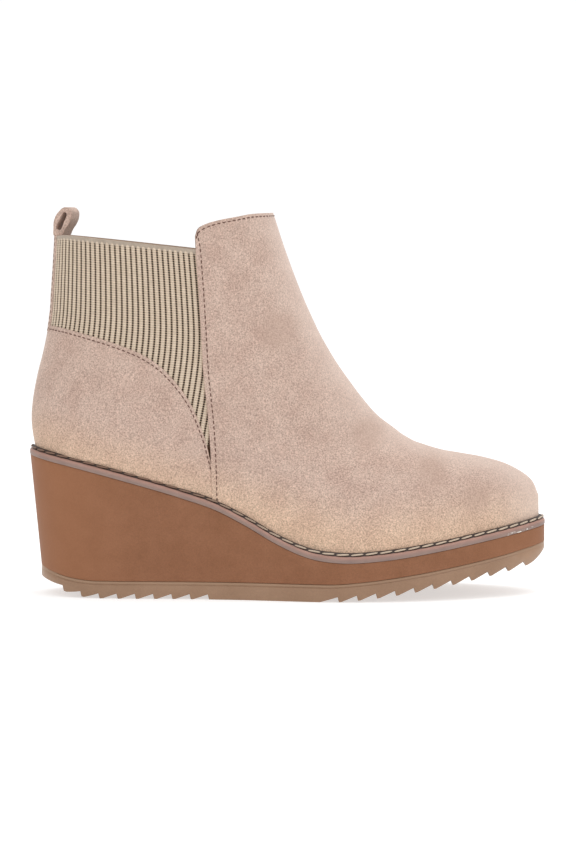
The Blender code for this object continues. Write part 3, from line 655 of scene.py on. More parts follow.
# The upper is faux suede: a counter round the heel, and a vamp in one piece with the shaft's front lapped
# over it. Both are cut from bonded cloth, folded in at their edges, stitched, and lined with plain cloth.
SHAFT_RISE = 0.1557
SHAFT_WIDTH = 0.062
WALL = 0.0018
LAP = 0.0006
STITCH_PITCH = 0.0026
STITCH_LENGTH = 0.0018
SEAM_FOOT_X = -0.0361
SEAM_FOOT_BELOW = 0.055
FOOT_BLEND = 12
BACK_SECTIONS = 9
SECTIONS = table(
    "front_along front_up back_along back_up lateral medial widest instep heel swing",
    (0.454, 1.050, 0.052, 0.767, 0.484, 0.468, 0.50, 2.30, 2.40, 0.00),
    (0.469, 1.000, 0.049, 0.695, 0.500, 0.484, 0.50, 2.30, 2.40, 0.00),
    (0.494, 0.898, 0.044, 0.574, 0.492, 0.476, 0.50, 2.30, 2.40, 0.00),
    (0.529, 0.774, 0.038, 0.441, 0.484, 0.468, 0.52, 2.25, 2.50, 0.00),
    (0.562, 0.673, 0.027, 0.340, 0.492, 0.476, 0.55, 2.20, 2.70, 0.00),
    (0.605, 0.569, 0.013, 0.245, 0.508, 0.492, 0.58, 2.15, 2.90, 0.00),
    (0.646, 0.478, 0.004, 0.158, 0.512, 0.496, 0.60, 2.10, 3.00, 0.00),
    (0.676, 0.423, 0.003, 0.087, 0.509, 0.493, 0.62, 2.10, 3.10, 0.00),
    (0.700, 0.387, 0.013, 0.000, 0.500, 0.484, 0.63, 2.10, 3.20, 0.00),
    (0.708, 0.376, 0.000, 0.000, 0.498, 0.482, 0.64, 2.10, 3.10, 0.00),
    (0.718, 0.362, 0.000, 0.000, 0.497, 0.480, 0.64, 2.05, 3.00, 0.00),
    (0.730, 0.348, 0.000, 0.000, 0.501, 0.481, 0.66, 2.05, 2.80, 0.00),
    (0.744, 0.333, 0.000, 0.000, 0.514, 0.486, 0.70, 2.00, 2.50, 0.00),
    (0.760, 0.320, 0.000, 0.000, 0.536, 0.500, 0.76, 2.00, 2.30, 0.00),
    (0.778, 0.305, 0.000, 0.000, 0.575, 0.525, 0.84, 2.00, 2.20, 0.00),
    (0.802, 0.288, 0.000, 0.000, 0.480, 0.420, 0.94, 2.00, 2.20, 0.06),
    (0.836, 0.269, 0.000, 0.000, 0.390, 0.350, 0.95, 2.05, 2.20, 0.20),
    (0.880, 0.242, 0.000, 0.000, 0.260, 0.250, 0.95, 2.50, 2.20, 0.44),
    (0.928, 0.204, 0.000, 0.000, 0.130, 0.130, 0.95, 3.00, 2.20, 0.70),
    (0.970, 0.149, 0.000, 0.000, 0.050, 0.050, 0.95, 4.00, 2.20, 0.92),
    (0.986, 0.094, 0.000, 0.000, 0.000, 0.000, 0.95, 4.50, 2.20, 1.00),
)
COLLAR_EDGE = table(
    "along  up",
    (0.469, 1.000),
    (0.430, 0.960),
    (0.399, 0.924),
    (0.368, 0.890),
    (0.346, 0.865),
    (0.330, 0.842),
    (0.324, 0.815),
)
VAMP_EDGE = table(
    "along  up",
    (0.324, 0.815),
    (0.324, 0.777),
    (0.330, 0.645),
    (0.335, 0.514),
    (0.339, 0.404),
    (0.344, 0.330),
    (0.349, 0.250),
    (0.352, 0.180),
    (0.353, 0.145),
    (0.356, 0.028),
    (0.358, -0.050),
)
COUNTER_EDGE = table(
    "along  up",
    (0.043, 0.416),
    (0.079, 0.419),
    (0.146, 0.417),
    (0.199, 0.411),
    (0.228, 0.402),
    (0.256, 0.385),
    (0.281, 0.357),
    (0.303, 0.323),
    (0.321, 0.282),
    (0.341, 0.208),
    (0.352, 0.145),
    (0.362, 0.085),
)
LAST_SECTION = len(SECTIONS["widest"]) - 1
CORNER = BACK_SECTIONS - 1

# Soft folds of the vamp, seen from the side: where each runs, how deep it goes and how wide it is.
# A negative depth is a ridge.
FOLDS = table(
    "from_along from_up to_along to_up depth width",
    (0.672, 0.440, 0.555, 0.190, 0.00060, 0.0050),
    (0.705, 0.395, 0.600, 0.180, -0.00035, 0.0045),
    (0.755, 0.330, 0.690, 0.170, 0.00050, 0.0048),
    (0.600, 0.600, 0.480, 0.420, 0.00040, 0.0070),
    (0.545, 0.720, 0.430, 0.560, -0.00030, 0.0080),
    (0.520, 0.300, 0.430, 0.120, 0.00035, 0.0060),
    (0.840, 0.250, 0.800, 0.110, 0.00025, 0.0060),
)


def place(along, up):
    """A point seen from the side: its place along the sole and its height above the sole's top line."""
    x = x_at(along)
    return np.stack([x, sole_top(x) + up * SHAFT_RISE], -1)


def section(at, name):
    return spline(np.arange(LAST_SECTION + 1.0), SECTIONS[name], at)


FEATHER_TURNS = np.linspace(0, math.pi, 181)
FEATHER = {side: plan_side(WELT_WIDTH, side) for side in SIDES}


def feather(turn, side):
    """Where the upper meets the sole: the outline drawn in by the welt."""
    x, y = FEATHER[side]
    return np.interp(turn, FEATHER_TURNS, x), np.interp(turn, FEATHER_TURNS, y)


def ring_ends(at):
    """Front and back ends, seen from the side, of the rings at some places in the table of sections."""
    front = place(section(at, "front_along"), section(at, "front_up"))
    rows = np.arange(BACK_SECTIONS * 1.0)
    along = SECTIONS["back_along"][:BACK_SECTIONS].copy()
    along[-1] = feather(0.0, "lateral")[0] / LENGTH + 0.5
    shaft_at = np.minimum(at, CORNER)
    back = place(spline(rows, along, shaft_at), spline(rows, SECTIONS["back_up"][:BACK_SECTIONS], shaft_at))
    turn = np.clip((at - CORNER) / (LAST_SECTION - CORNER), 0, 1) * math.pi
    x = feather(turn, "lateral")[0]
    foot = np.stack([x, sole_top(x)], -1)
    return front, np.where((at > CORNER)[:, None], foot, back), turn


def ring_side(at, t, side):
    """The form's y on one side, at a share t of the way from the front of a ring to its back."""
    turn = np.clip((at - CORNER) / (LAST_SECTION - CORNER), 0, 1) * math.pi
    middle_line = half_width(math.pi, "medial") * section(at, "swing")
    foot = np.where(at > CORNER, np.maximum(SIDES[side] * (feather(turn, side)[1] - middle_line), 0), 0)
    own = SHAFT_WIDTH * np.maximum(section(at, side), 0)
    widest = (own**FOOT_BLEND + foot**FOOT_BLEND) ** (1 / FOOT_BLEND) + 1e-9
    middle = section(at, "widest")
    front = np.clip((middle - t) / middle, 0, 1)
    cut_off = (1 - np.clip(foot / widest, 0, 1) ** 2) ** (1 / section(at, "heel"))
    back = np.clip((t - middle) / (1 - middle), 0, 1) * cut_off
    front_share = 1 - front ** section(at, "instep")
    back_share = np.maximum(1 - back ** section(at, "heel"), 0)
    share = np.where(t < middle, front_share, back_share) ** 0.5
    return middle_line + SIDES[side] * widest * share


def width_at(x, z, side):
    """The form's y at points seen from the side, found by closing in on the ring that holds each."""
    low = np.zeros(len(x))
    high = np.full(len(x), float(LAST_SECTION))
    for _ in range(26):
        at = (low + high) / 2
        front, back, _ = ring_ends(at)
        line = back - front
        ahead = line[:, 0] * (z - front[:, 1]) - line[:, 1] * (x - front[:, 0]) > 0
        low = np.where(ahead, at, low)
        high = np.where(ahead, high, at)
    t = ((x - front[:, 0]) * line[:, 0] + (z - front[:, 1]) * line[:, 1]) / (line**2).sum(1)
    return ring_side(at, np.clip(t, 0, 1), side)


def unit(vectors):
    return vectors / np.maximum(np.linalg.norm(vectors, axis=-1, keepdims=True), 1e-12)


def smooth_line(rows, count=121):
    """Points at even distances along a smooth curve through a table of places seen from the side."""
    corners = place(rows["along"], rows["up"])
    index = np.arange(len(corners) * 1.0)
    at = np.linspace(0, len(corners) - 1, 40 * len(corners))
    fine = np.stack([spline(index, corners[:, 0], at), spline(index, corners[:, 1], at)], -1)
    return resample(fine, np.linspace(0, 1, count))


def resample(line, shares):
    """Points at given shares of a line's length."""
    reach = np.concatenate([[0], np.cumsum(np.linalg.norm(np.diff(line, axis=0), axis=1))])
    return np.stack([np.interp(shares * reach[-1], reach, line[:, a]) for a in range(line.shape[1])], -1)


def normals_of(points):
    """Outward normals of a grid that runs from the outer side over the middle to the inner side."""
    normals = unit(np.cross(np.gradient(points, axis=1), np.gradient(points, axis=0)))
    outer = points[..., 1] < -0.010
    if np.median(normals[outer][:, 1]) > 0:
        normals = -normals
    return normals


def fold_height(points):
    """How far the soft folds push each point of the surface in."""
    height = np.zeros(points.shape[:-1])
    flat = points[..., [0, 2]]
    for k in range(len(FOLDS["depth"])):
        start = place(FOLDS["from_along"][k], FOLDS["from_up"][k])
        end = place(FOLDS["to_along"][k], FOLDS["to_up"][k])
        run = end - start
        t = ((flat - start) @ run) / (run @ run)
        bow = start + np.clip(t, 0, 1)[..., None] * run
        away = np.linalg.norm(flat - bow, axis=-1) / FOLDS["width"][k]
        fade = np.clip(1.15 - np.abs(t - 0.45), 0, 1) ** 2
        height += FOLDS["depth"][k] * np.exp(-(away**2)) * fade * np.where(points[..., 1] > 0, 0.8, 1.0)
    return height


def vamp_grid():
    """The vamp: rows from the collar down its back edges and along the sole to the toe."""
    edge = smooth_line(VAMP_EDGE, 400)
    foot_at = np.linspace(CORNER + 0.05, LAST_SECTION, 400)
    seam_x = np.interp(0.0, (edge[:, 1] - sole_top(edge[:, 0]))[::-1], edge[::-1, 0])
    seam_at = np.interp(seam_x, ring_ends(foot_at)[1][:, 0], foot_at)
    rings = np.concatenate([np.linspace(2, seam_at, 70), np.linspace(seam_at, LAST_SECTION, 110)[1:]])
    front, back, _ = ring_ends(rings)
    shares = np.linspace(0, 1, 500)
    line = front[:, None] + shares[:, None] * (back - front)[:, None]
    gap = line[..., 0] - np.interp(line[..., 1], edge[::-1, 1], edge[::-1, 0])
    reach = np.ones(len(rings))
    for i in range(len(rings)):
        behind = np.flatnonzero(gap[i] < 0)
        if rings[i] < seam_at and len(behind):
            k = behind[0]
            crossing = gap[i, k - 1] / (gap[i, k - 1] - gap[i, k])
            reach[i] = shares[k - 1] + (shares[k] - shares[k - 1]) * crossing
    steps = (1 - np.cos(np.linspace(0, math.pi, 61))) / 2
    t = reach[:, None] * steps
    below = front[:, None] + t[..., None] * (back - front)[:, None]
    collar = resample(smooth_line(COLLAR_EDGE, 400), steps)
    down = np.linspace(0, 1, 26)[:-1]
    ridge = ring_ends(1 + down)[0]
    straight = collar[:1] + down[:, None] * (below[0, :1] - collar[:1])
    bulge = (ridge - straight)[:, None] * (1 - steps)[:, None]
    above = collar + down[:, None, None] * (below[0] - collar) + bulge
    at = np.repeat(rings, len(steps))
    halves = []
    for side in SIDES:
        top = width_at(*above.reshape(-1, 2).T, side).reshape(above.shape[:2])
        top[:, 0] = 0
        foot = ring_side(at, t.ravel(), side).reshape(t.shape)
        flat = np.concatenate([above, below])
        halves.append(np.stack([flat[..., 0], np.concatenate([top, foot]), flat[..., 1]], -1))
    points = np.concatenate([halves[0][:, ::-1], halves[1][:, 1:]], 1)
    normals = normals_of(points)
    normals[-1] = unit(normals[-2] + normals[-2, ::-1])
    return points, normals


def counter_grid():
    """The counter: rows from its top edge down to the sole, columns from seam to seam round the heel."""
    u = 1 - np.cos(np.linspace(0, math.pi / 2, 70))
    v = np.linspace(0, 1, 70)
    top = resample(smooth_line(COUNTER_EDGE, 400), u)
    back_up = SECTIONS["back_up"][:BACK_SECTIONS]
    start_at = np.interp(-COUNTER_EDGE["up"][0], -back_up, np.arange(BACK_SECTIONS))
    back = ring_ends(np.linspace(start_at, CORNER, 70))[1]
    top[0] = back[0]
    x = back[-1, 0] + u * (top[-1, 0] - back[-1, 0])
    bottom = np.stack([x, sole_top(x)], -1)
    front = top[-1] + v[:, None] * (bottom[-1] - top[-1])
    u, v = u[None, :, None], v[:, None, None]
    flat = (1 - v) * top + v * bottom + (1 - u) * back[:, None] + u * front[:, None]
    upper_corners = (1 - u) * top[0] + u * top[-1]
    lower_corners = (1 - u) * bottom[0] + u * bottom[-1]
    flat = flat - (1 - v) * upper_corners - v * lower_corners
    halves = []
    for side in SIDES:
        y = width_at(*flat.reshape(-1, 2).T, side).reshape(flat.shape[:2])
        y[:, 0] = 0
        halves.append(np.stack([flat[..., 0], y, flat[..., 1]], -1))
    points = np.concatenate([halves[0][:, ::-1], halves[1][:, 1:]], 1)
    return points, normals_of(points)


# Darker patches painted on the instep and vamp as shade in their soft creases.
CREASE_SHADE = table(
    "along_x  up_z  reach",
    (0.038, 0.078, 0.012),
    (0.069, 0.060, 0.011),
    (0.090, 0.048, 0.010),
    (-0.005, 0.128, 0.014),
)


def suede_finish(name):
    """Napped faux suede: peach by the sole, greyer up the instep, with a fine pebbled grain, a painted
    highlight along the crest and painted shade in the creases.
    """
    finish = Finish(name, 0.93)
    warm = finish.tones((211, 181, 156), (201, 170, 146), 0.012, 0.0007, 2.1)
    cool = finish.tones((197, 172, 158), (187, 160, 146), 0.012, 0.0007, 2.1)
    along = finish.part_of("Object", "X")
    behind = finish.math("MULTIPLY_ADD", along, -0.30, 0.030)
    ahead = finish.math("MULTIPLY_ADD", along, 0.10, 0.018)
    sole_line = finish.math("MAXIMUM", behind, ahead)
    above_sole = finish.math("SUBTRACT", finish.part_of("Object", "Z"), sole_line)
    body = finish.mix(finish.between(above_sole, 0.000, 0.032), warm, cool)
    # Painted highlight: the suede is mixed paler along the crest of the instep and toe, where the middle line
    # faces the light from above.
    from_middle = finish.math("ABSOLUTE", finish.part_of("Object", "Y"))
    crest_highlight = finish.math("SUBTRACT", 1.0, finish.between(from_middle, 0.004, 0.026))
    in_front = finish.between(along, -0.040, 0.000)
    painted_paler = finish.math("MULTIPLY", finish.math("MULTIPLY", crest_highlight, in_front), 0.42)
    body = finish.mix(painted_paler, body, (224, 206, 195))
    # Painted shade: each patch darkens the suede round a soft crease.
    for x, z, reach in zip(CREASE_SHADE["along_x"], CREASE_SHADE["up_z"], CREASE_SHADE["reach"]):
        ahead = finish.math("ABSOLUTE", finish.math("SUBTRACT", along, x))
        over = finish.math("ABSOLUTE", finish.math("SUBTRACT", finish.part_of("Object", "Z"), z))
        squares = finish.math("MULTIPLY_ADD", ahead, ahead, finish.math("MULTIPLY", over, over))
        away = finish.math("SQRT", squares)
        near = finish.math("SUBTRACT", 1.0, finish.between(away, reach / 4, reach))
        body = finish.mix(finish.math("MULTIPLY", near, 0.45), body, (178, 150, 135))
    finish.colour(body)
    finish.bump(finish.grain(0.0009), 0.00016, 0.8)
    finish.shader.inputs["Sheen Weight"].default_value = 0.30
    finish.shader.inputs["Sheen Roughness"].default_value = 0.45
    finish.shader.inputs["Sheen Tint"].default_value = (*linear((250, 238, 228)), 1)
    finish.shader.inputs["Specular IOR Level"].default_value = 0.25
    return finish.material


def lining_finish():
    finish = Finish("lining cloth", 0.9)
    finish.colour(finish.tones((196, 172, 152), (184, 160, 140), 0.010, 0.0006, 0.2))
    finish.bump(finish.grain(0.0006), 0.00008, 0.6)
    return finish.material


def edge_shade_finish():
    """A painted shadow line: the darker tone on the rims of the suede pieces, standing in for the shade under
    the vamp's lapped edge.
    """
    finish = Finish("painted edge shadow", 0.9)
    finish.colour(finish.tones((158, 124, 106), (146, 112, 96), 0.006, 0.0007, 0.8))
    return finish.material


SUEDE = suede_finish("faux suede")
LINING = lining_finish()
EDGE_SHADE = edge_shade_finish()


def thicken(piece, thickness, edge, finishes):
    """Gives a skin its wall, with a softly rounded rim, and applies it."""
    for finish in finishes:
        piece.data.materials.append(finish)
    wall = piece.modifiers.new("wall", "SOLIDIFY")
    wall.thickness = thickness
    wall.offset = -1
    wall.use_even_offset = False
    wall.material_offset = min(len(finishes) - 1, 1)
    wall.material_offset_rim = len(finishes) - 1
    pick(piece)
    bpy.ops.object.modifier_apply(modifier=wall.name)
    if edge:
        soften = piece.modifiers.new("soft rim", "BEVEL")
        soften.width = edge
        soften.segments = 2
        soften.limit_method = "ANGLE"
        soften.angle_limit = math.radians(60)
        bpy.ops.object.modifier_apply(modifier=soften.name)
    bpy.ops.object.shade_smooth_by_angle(angle=math.radians(50))


def skin(name, points):
    rows, columns = points.shape[:2]
    return make_piece(name, points.reshape(-1, 3), grid_faces(rows, columns))


def inset_line(points, normals, distance):
    """A line across a grid's columns, a set distance down from the first row."""
    line, lifted = [], []
    for j in range(points.shape[1]):
        column = points[:, j]
        reach = np.concatenate([[0], np.cumsum(np.linalg.norm(np.diff(column, axis=0), axis=1))])
        line.append([np.interp(distance, reach, column[:, a]) for a in range(3)])
        lifted.append([np.interp(distance, reach, normals[:, j, a]) for a in range(3)])
    return np.array(line), np.array(lifted)


def upper():
    dark = thread_finish("upper thread", (104, 70, 58))
    vamp, vamp_normals = vamp_grid()
    outer = vamp + vamp_normals * (LAP - fold_height(vamp))[..., None]
    piece = skin("vamp_and_shaft_front", outer)
    # The rims of the suede pieces take the painted shadow tone.
    thicken(piece, WALL + LAP, 0.00035, [SUEDE, LINING, EDGE_SHADE])
    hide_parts("upper")
    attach(piece, "root")
    counter, counter_normals = counter_grid()
    piece = skin("heel_counter", counter)
    thicken(piece, WALL, 0.00035, [SUEDE, LINING, EDGE_SHADE])
    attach(piece, "root")
    rows = []
    line, lifted = inset_line(outer, vamp_normals, 0.0016)
    rows.append(("collar_stitches", line, lifted))
    line, lifted = inset_line(counter, counter_normals, 0.0018)
    rows.append(("counter_stitches", line, lifted))
    over_sole = outer[:, 0, 2] > SEAM_FOOT_BELOW
    drop = np.argmin(np.abs(outer[:, 0, 0] - SEAM_FOOT_X) + over_sole)
    for name, grid, normals in (
        ("lateral", outer, vamp_normals),
        ("medial", outer[:, ::-1], vamp_normals[:, ::-1]),
    ):
        turned = grid[: drop + 1].transpose(1, 0, 2)
        line, lifted = inset_line(turned, normals[: drop + 1].transpose(1, 0, 2), 0.0024)
        line = np.vstack([line, line[-1] + unit(line[-1] - line[-3]) * 0.0030])
        lifted = np.vstack([lifted, lifted[-1]])
        rows.append((f"vamp_edge_stitches_{name}", line, lifted))
    for name, line, lifted in rows:
        row = stitch_row(name, line, lifted, STITCH_PITCH, STITCH_LENGTH, 0.00026, dark)
        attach(row, "root")


upper()


# Each side has a wide panel of ribbed elastic between the shaft's front and the back strip. Woven ribs
# stand over dark dotted grooves, and a plain hem closes the top. It is sewn in under the suede all round.
GORE_THICKNESS = 0.0015
GORE_SINK = 0.0002
GORE_REACH = 0.0900
RIB_PITCH = 0.00255
RIB_DEPTH = 0.0006
RIB_SPREAD = 0.17
RIB_STEPS = 8
RIB_GROOVE_SHARE = 0.17
ROW_CROWDING = 1.6
BEYOND_BACK = 0.0040
HEM_HEIGHT = 0.0014
WEAVE_PITCH = 1.12
BACK_STRIP_WIDTH = 0.0140
GORE_TOP = table(
    "along  up",
    (0.040, 0.690),
    (0.071, 0.706),
    (0.324, 0.775),
    (0.380, 0.790),
)
ROWS = table(
    "back_along back_up front_along front_up",
    (0.049, 0.720, 0.440, 0.840),
    (0.044, 0.590, 0.440, 0.690),
    (0.038, 0.470, 0.440, 0.540),
    (0.033, 0.395, 0.440, 0.380),
    (0.023, 0.310, 0.440, 0.220),
    (0.010, 0.220, 0.440, 0.080),
)


def panel_grid(arcs, count, side):
    """Points on the form at given distances round from the back line, a row for each row line."""
    last = len(ROWS["back_up"]) - 1.0
    index = np.arange(last + 1)
    points = []
    for row in np.linspace(0, last, count):
        back = place(spline(index, ROWS["back_along"], row), spline(index, ROWS["back_up"], row))
        front = place(spline(index, ROWS["front_along"], row), spline(index, ROWS["front_up"], row))
        back = back - (BEYOND_BACK, 0)
        share = np.linspace(0, 1, 300) ** ROW_CROWDING
        x, z = (back + share[:, None] * (front - back)).T
        y = width_at(x, z, side)
        start = np.flatnonzero(np.abs(y) < 1e-6).max()
        line = np.stack([x, y, z], -1)[start:]
        reach = np.concatenate([[0], np.cumsum(np.linalg.norm(np.diff(line, axis=0), axis=1))])
        first = BACK_STRIP_WIDTH / 2
        spread = 1 + RIB_SPREAD * row / last
        wanted = np.where(arcs > first, first + (arcs - first) * spread, arcs)
        points.append([np.interp(wanted, reach, line[:, k]) for k in range(3)])
    return np.array(points).transpose(0, 2, 1)


def trim_rows(grid, count, under):
    """The grid again with its rows set evenly between the elastic's top line and the counter's edge."""
    top = place(GORE_TOP["along"], GORE_TOP["up"])
    edge = smooth_line(COUNTER_EDGE, 400)
    steps = np.linspace(0, 1, grid.shape[0])
    columns = []
    for j in range(grid.shape[1]):
        column = grid[:, j]
        over = column[:, 2] - np.interp(column[:, 0], top[:, 0], top[:, 1])
        above = column[:, 2] - np.interp(column[:, 0], edge[:, 0], edge[:, 1]) + under
        first = np.interp(0, -over, steps)
        last = np.interp(0, -above, steps)
        at = np.linspace(first, last, count)
        columns.append(np.stack([np.interp(at, steps, column[:, a]) for a in range(3)], -1))
    return np.array(columns).transpose(1, 0, 2)


def elastic_finish():
    finish = Finish("ribbed elastic", 0.85)
    across = finish.part_of("UV", "X")
    down = finish.part_of("UV", "Y")
    in_rib = finish.math("FRACT", finish.math("ADD", across, 0.5))
    from_groove = finish.math("ABSOLUTE", finish.math("SUBTRACT", in_rib, 0.5))
    groove = finish.math("SUBTRACT", 1.0, finish.between(from_groove, 0.13, 0.21))
    weave = finish.math("SINE", finish.math("MULTIPLY", down, 2 * math.pi / WEAVE_PITCH))
    dots = finish.math("MULTIPLY_ADD", weave, 0.5, 0.5)
    dark = finish.mix(finish.between(dots, 0.10, 0.5), (160, 138, 114), (40, 30, 22))
    plain = finish.tones((216, 198, 177), (206, 187, 166), 0.003, 0.0006, 0.9)
    knots = finish.math("MULTIPLY", finish.between(weave, -0.2, 0.9), 0.80)
    rib = finish.mix(knots, plain, (182, 162, 139))
    beside = finish.math("SUBTRACT", 1.0, finish.between(from_groove, 0.08, 0.46))
    below_hem = finish.between(down, 1.9, 2.5)
    ribbed = finish.mix(finish.math("MULTIPLY", groove, below_hem), rib, dark)
    hem_line = finish.math("SUBTRACT", down, finish.math("MULTIPLY", beside, 1.1))
    in_hem = finish.math("SUBTRACT", 1.0, finish.between(hem_line, 1.1, 1.5))
    hem_tone = finish.tones((178, 163, 147), (166, 151, 136), 0.004, 0.0006, 0.5)
    finish.colour(finish.mix(in_hem, ribbed, hem_tone))
    finish.bump(finish.math("MULTIPLY_ADD", weave, 0.4, finish.grain(0.0006)), 0.00010, 0.8)
    finish.shader.inputs["Sheen Weight"].default_value = 0.15
    return finish.material


def gore(side):
    ribs = int(GORE_REACH / RIB_PITCH)
    turns = np.arange(ribs * RIB_STEPS + 1) / RIB_STEPS
    arcs = BACK_STRIP_WIDTH / 2 - RIB_PITCH + RIB_PITCH * turns
    points = trim_rows(panel_grid(arcs, 60, side), 90, 0.003)
    normals = unit(np.cross(np.gradient(points, axis=1), np.gradient(points, axis=0)))
    normals *= np.where(normals[..., 1:2] * SIDES[side] < 0, -1, 1)
    lengths = np.linalg.norm(np.diff(points, axis=0), axis=2)
    down = np.concatenate([np.zeros((1, len(arcs))), np.cumsum(lengths, axis=0)]) * 1000
    away = np.abs((turns + 0.5) % 1 - 0.5)
    groove = np.exp(-((away / RIB_GROOVE_SHARE) ** 2)) + 0.10 * (1 - np.cos(2 * math.pi * (turns - 0.5))) / 2
    started = np.clip((down - 1000 * HEM_HEIGHT) / 0.7, 0, 1)
    depth = GORE_SINK + RIB_DEPTH * groove * started
    outer = points - normals * depth[..., None]
    uv = np.stack([np.broadcast_to(turns, down.shape), down], -1).reshape(-1, 2)
    rows, columns = points.shape[:2]
    piece = make_piece(f"elastic_panel_{side}", outer.reshape(-1, 3), grid_faces(rows, columns), uv, 75)
    if np.dot(piece.data.polygons[len(piece.data.polygons) // 2].normal, (0, SIDES[side], 0)) < 0:
        piece.data.flip_normals()
    thicken(piece, GORE_THICKNESS, 0, [ELASTIC, LINING])
    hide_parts(f"gore_{side}")
    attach(piece, "root")


ELASTIC = elastic_finish()
for side in SIDES:
    gore(side)


# A narrow suede strip covers the ends of both elastic panels down the back. It is stitched along each edge,
# and its upper end runs on into the pull loop.
BACK_STRIP_THICKNESS = 0.0019
STRIP_RAISE = 0.0002


def back_strip():
    arcs = np.linspace(0, BACK_STRIP_WIDTH / 2, 14)
    halves = [trim_rows(panel_grid(arcs, 60, side), 70, 0.003) for side in SIDES]
    points = np.concatenate([halves[0][:, ::-1], halves[1][:, 1:]], 1)
    normals = unit(np.cross(np.gradient(points, axis=1), np.gradient(points, axis=0)))
    if normals[20, len(arcs) - 1, 0] > 0:
        normals = -normals
    outer = points + normals * STRIP_RAISE
    piece = skin("back_strip", outer)
    if piece.data.polygons[len(piece.data.polygons) // 2].normal.x > 0:
        piece.data.flip_normals()
    thicken(piece, BACK_STRIP_THICKNESS, 0.0003, [SUEDE])
    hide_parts("back_strip")
    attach(piece, "root")
    dark = thread_finish("strip thread", (120, 86, 70))
    for name, grid, lift in (("lateral", outer, normals), ("medial", outer[:, ::-1], normals[:, ::-1])):
        line, lifted = inset_line(grid.transpose(1, 0, 2), lift.transpose(1, 0, 2), 0.0014)
        sizes = (STITCH_PITCH, STITCH_LENGTH, 0.00024)
        row = stitch_row(f"strip_stitches_{name}", line, lifted, *sizes, dark)
        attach(row, "root")


back_strip()


# The pull loop is the back strip's end, folded forwards on itself and sewn down. It leans a little out of
# line with the boot, so its front face shows beside its edge.
LOOP_HEIGHT = 0.0136
LOOP_DEPTH = 0.0086
LOOP_WIDTH = 0.0130
LOOP_TWIST = math.radians(14)
LOOP_ALONG = 0.0560
LOOP_UP = 0.7022
LOOP_OUTLINE = table(
    "depth  height",
    (0.02, -0.09),
    (-0.06, 0.24),
    (-0.01, 0.53),
    (0.22, 0.78),
    (0.66, 0.96),
    (0.96, 0.84),
    (1.00, 0.65),
    (0.88, 0.41),
    (0.66, 0.20),
    (0.36, -0.09),
)
LOOP_HOLE = table(
    "depth  height",
    (0.64, 0.78),
    (0.36, 0.58),
    (0.20, 0.16),
    (0.58, 0.46),
)


def pull_loop():
    shape = bpy.data.curves.new("pull_loop", "CURVE")
    shape.dimensions = "2D"
    shape.fill_mode = "BOTH"
    shape.extrude = LOOP_WIDTH / 2 - 0.0003
    shape.bevel_depth = 0.0003
    shape.bevel_resolution = 2
    shape.offset = -0.0003
    shape.resolution_u = 12
    for rows in (LOOP_OUTLINE, LOOP_HOLE):
        line = shape.splines.new("BEZIER")
        line.bezier_points.add(len(rows["depth"]) - 1)
        line.use_cyclic_u = True
        for point, depth, height in zip(line.bezier_points, rows["depth"], rows["height"]):
            point.co = (depth * LOOP_DEPTH, height * LOOP_HEIGHT, 0)
            point.handle_left_type = point.handle_right_type = "AUTO"
    piece = bpy.data.objects.new("pull_loop", shape)
    bpy.context.scene.collection.objects.link(piece)
    pick(piece)
    bpy.ops.object.convert(target="MESH")
    piece = bpy.context.active_object
    x, z = place(LOOP_ALONG, LOOP_UP)
    turned = Matrix.Rotation(-LOOP_TWIST, 4, "Z") @ Matrix.Rotation(math.pi / 2, 4, "X")
    piece.data.transform(Matrix.Translation((x, 0, z)) @ turned)
    clean(piece.data)
    bpy.ops.object.shade_smooth_by_angle(angle=math.radians(50))
    piece.data.materials.clear()
    piece.data.materials.append(SUEDE)
    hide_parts("pull_loop")
    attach(piece, "root")


pull_loop()


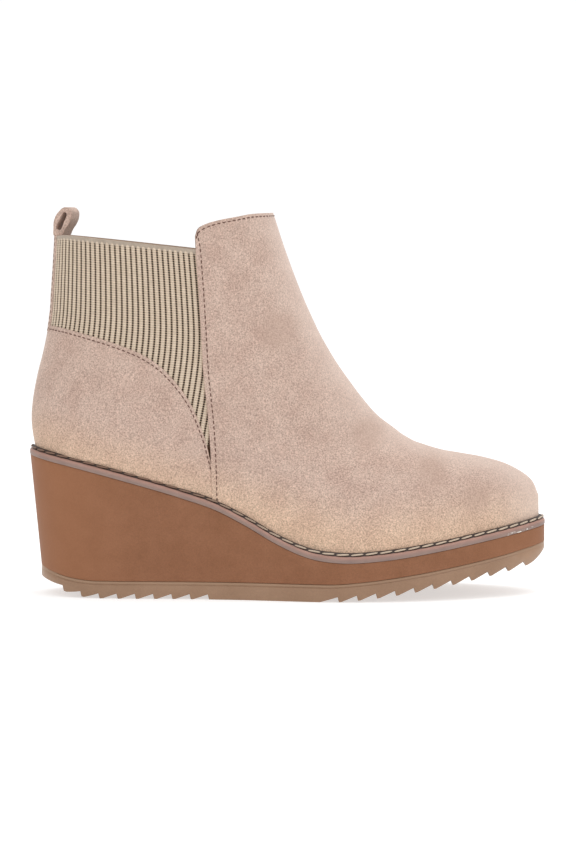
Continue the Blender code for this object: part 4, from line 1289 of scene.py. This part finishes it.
# The footbed is a thin board under plain beige cloth, glued on the wedge inside the upper.
# It shows only from above, through the collar.
def footbed():
    finish = Finish("footbed cloth", 0.9)
    finish.colour(finish.tones((200, 178, 156), (188, 166, 144), 0.012, 0.0007, 0.2))
    finish.bump(finish.grain(0.0007), 0.00008, 0.6)
    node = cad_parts["insole"]
    node.data.materials.clear()
    node.data.materials.append(finish.material)


footbed()


# A plain pale studio floor that glows a little and curves up behind the boot. Large soft lights stand above
# and in front of it.
def studio():
    floor_finish = Finish("pale floor", 0.9)
    floor_finish.shader.inputs["Base Color"].default_value = (0.60, 0.60, 0.60, 1)
    floor_finish.shader.inputs["Emission Color"].default_value = (1, 1, 1, 1)
    floor_finish.shader.inputs["Emission Strength"].default_value = 0.55
    turns = np.linspace(0, math.pi / 2, 17)
    radius = 2.0
    back = 3.0
    profile = [(-4.0, 0.0), (-1.0, 0.0), (0.5, 0.0)]
    profile += [(back + radius * math.sin(turn), radius * (1 - math.cos(turn))) for turn in turns]
    profile.append((back + radius, 7.0))
    points = [(x, y, z) for y, z in profile for x in (-6.0, 6.0)]
    floor = make_piece("floor", points, grid_faces(len(profile), 2))
    floor.data.materials.append(floor_finish.material)

    world = bpy.data.worlds.new("studio")
    world.use_nodes = True
    world.node_tree.nodes["Background"].inputs["Color"].default_value = (1, 1, 1, 1)
    world.node_tree.nodes["Background"].inputs["Strength"].default_value = 0.64
    bpy.context.scene.world = world
    for name, spot, size, power in (
        ("key", (-0.9, -1.6, 1.5), 1.6, 8),
        ("fill", (1.3, -1.3, 0.9), 1.6, 4.5),
        ("top", (0.4, 0.2, 1.9), 1.6, 17),
    ):
        light = bpy.data.lights.new(name, "AREA")
        light.size = size
        light.energy = power
        lamp = bpy.data.objects.new(name, light)
        lamp.location = spot
        lamp.rotation_euler = (Vector((0, 0, 0.08)) - Vector(spot)).to_track_quat("-Z", "Y").to_euler()
        bpy.context.scene.collection.objects.link(lamp)

    camera = bpy.data.cameras.new("camera")
    camera.lens = 137.6
    camera.sensor_width = 36
    holder = bpy.data.objects.new("camera", camera)
    holder.location = (0, -1.6, 0.18)
    holder.rotation_euler = (Vector((0, 0, 0.078)) - holder.location).to_track_quat("-Z", "Y").to_euler()
    bpy.context.scene.collection.objects.link(holder)
    bpy.context.scene.camera = holder
    bpy.context.scene.view_settings.view_transform = "Standard"


studio()
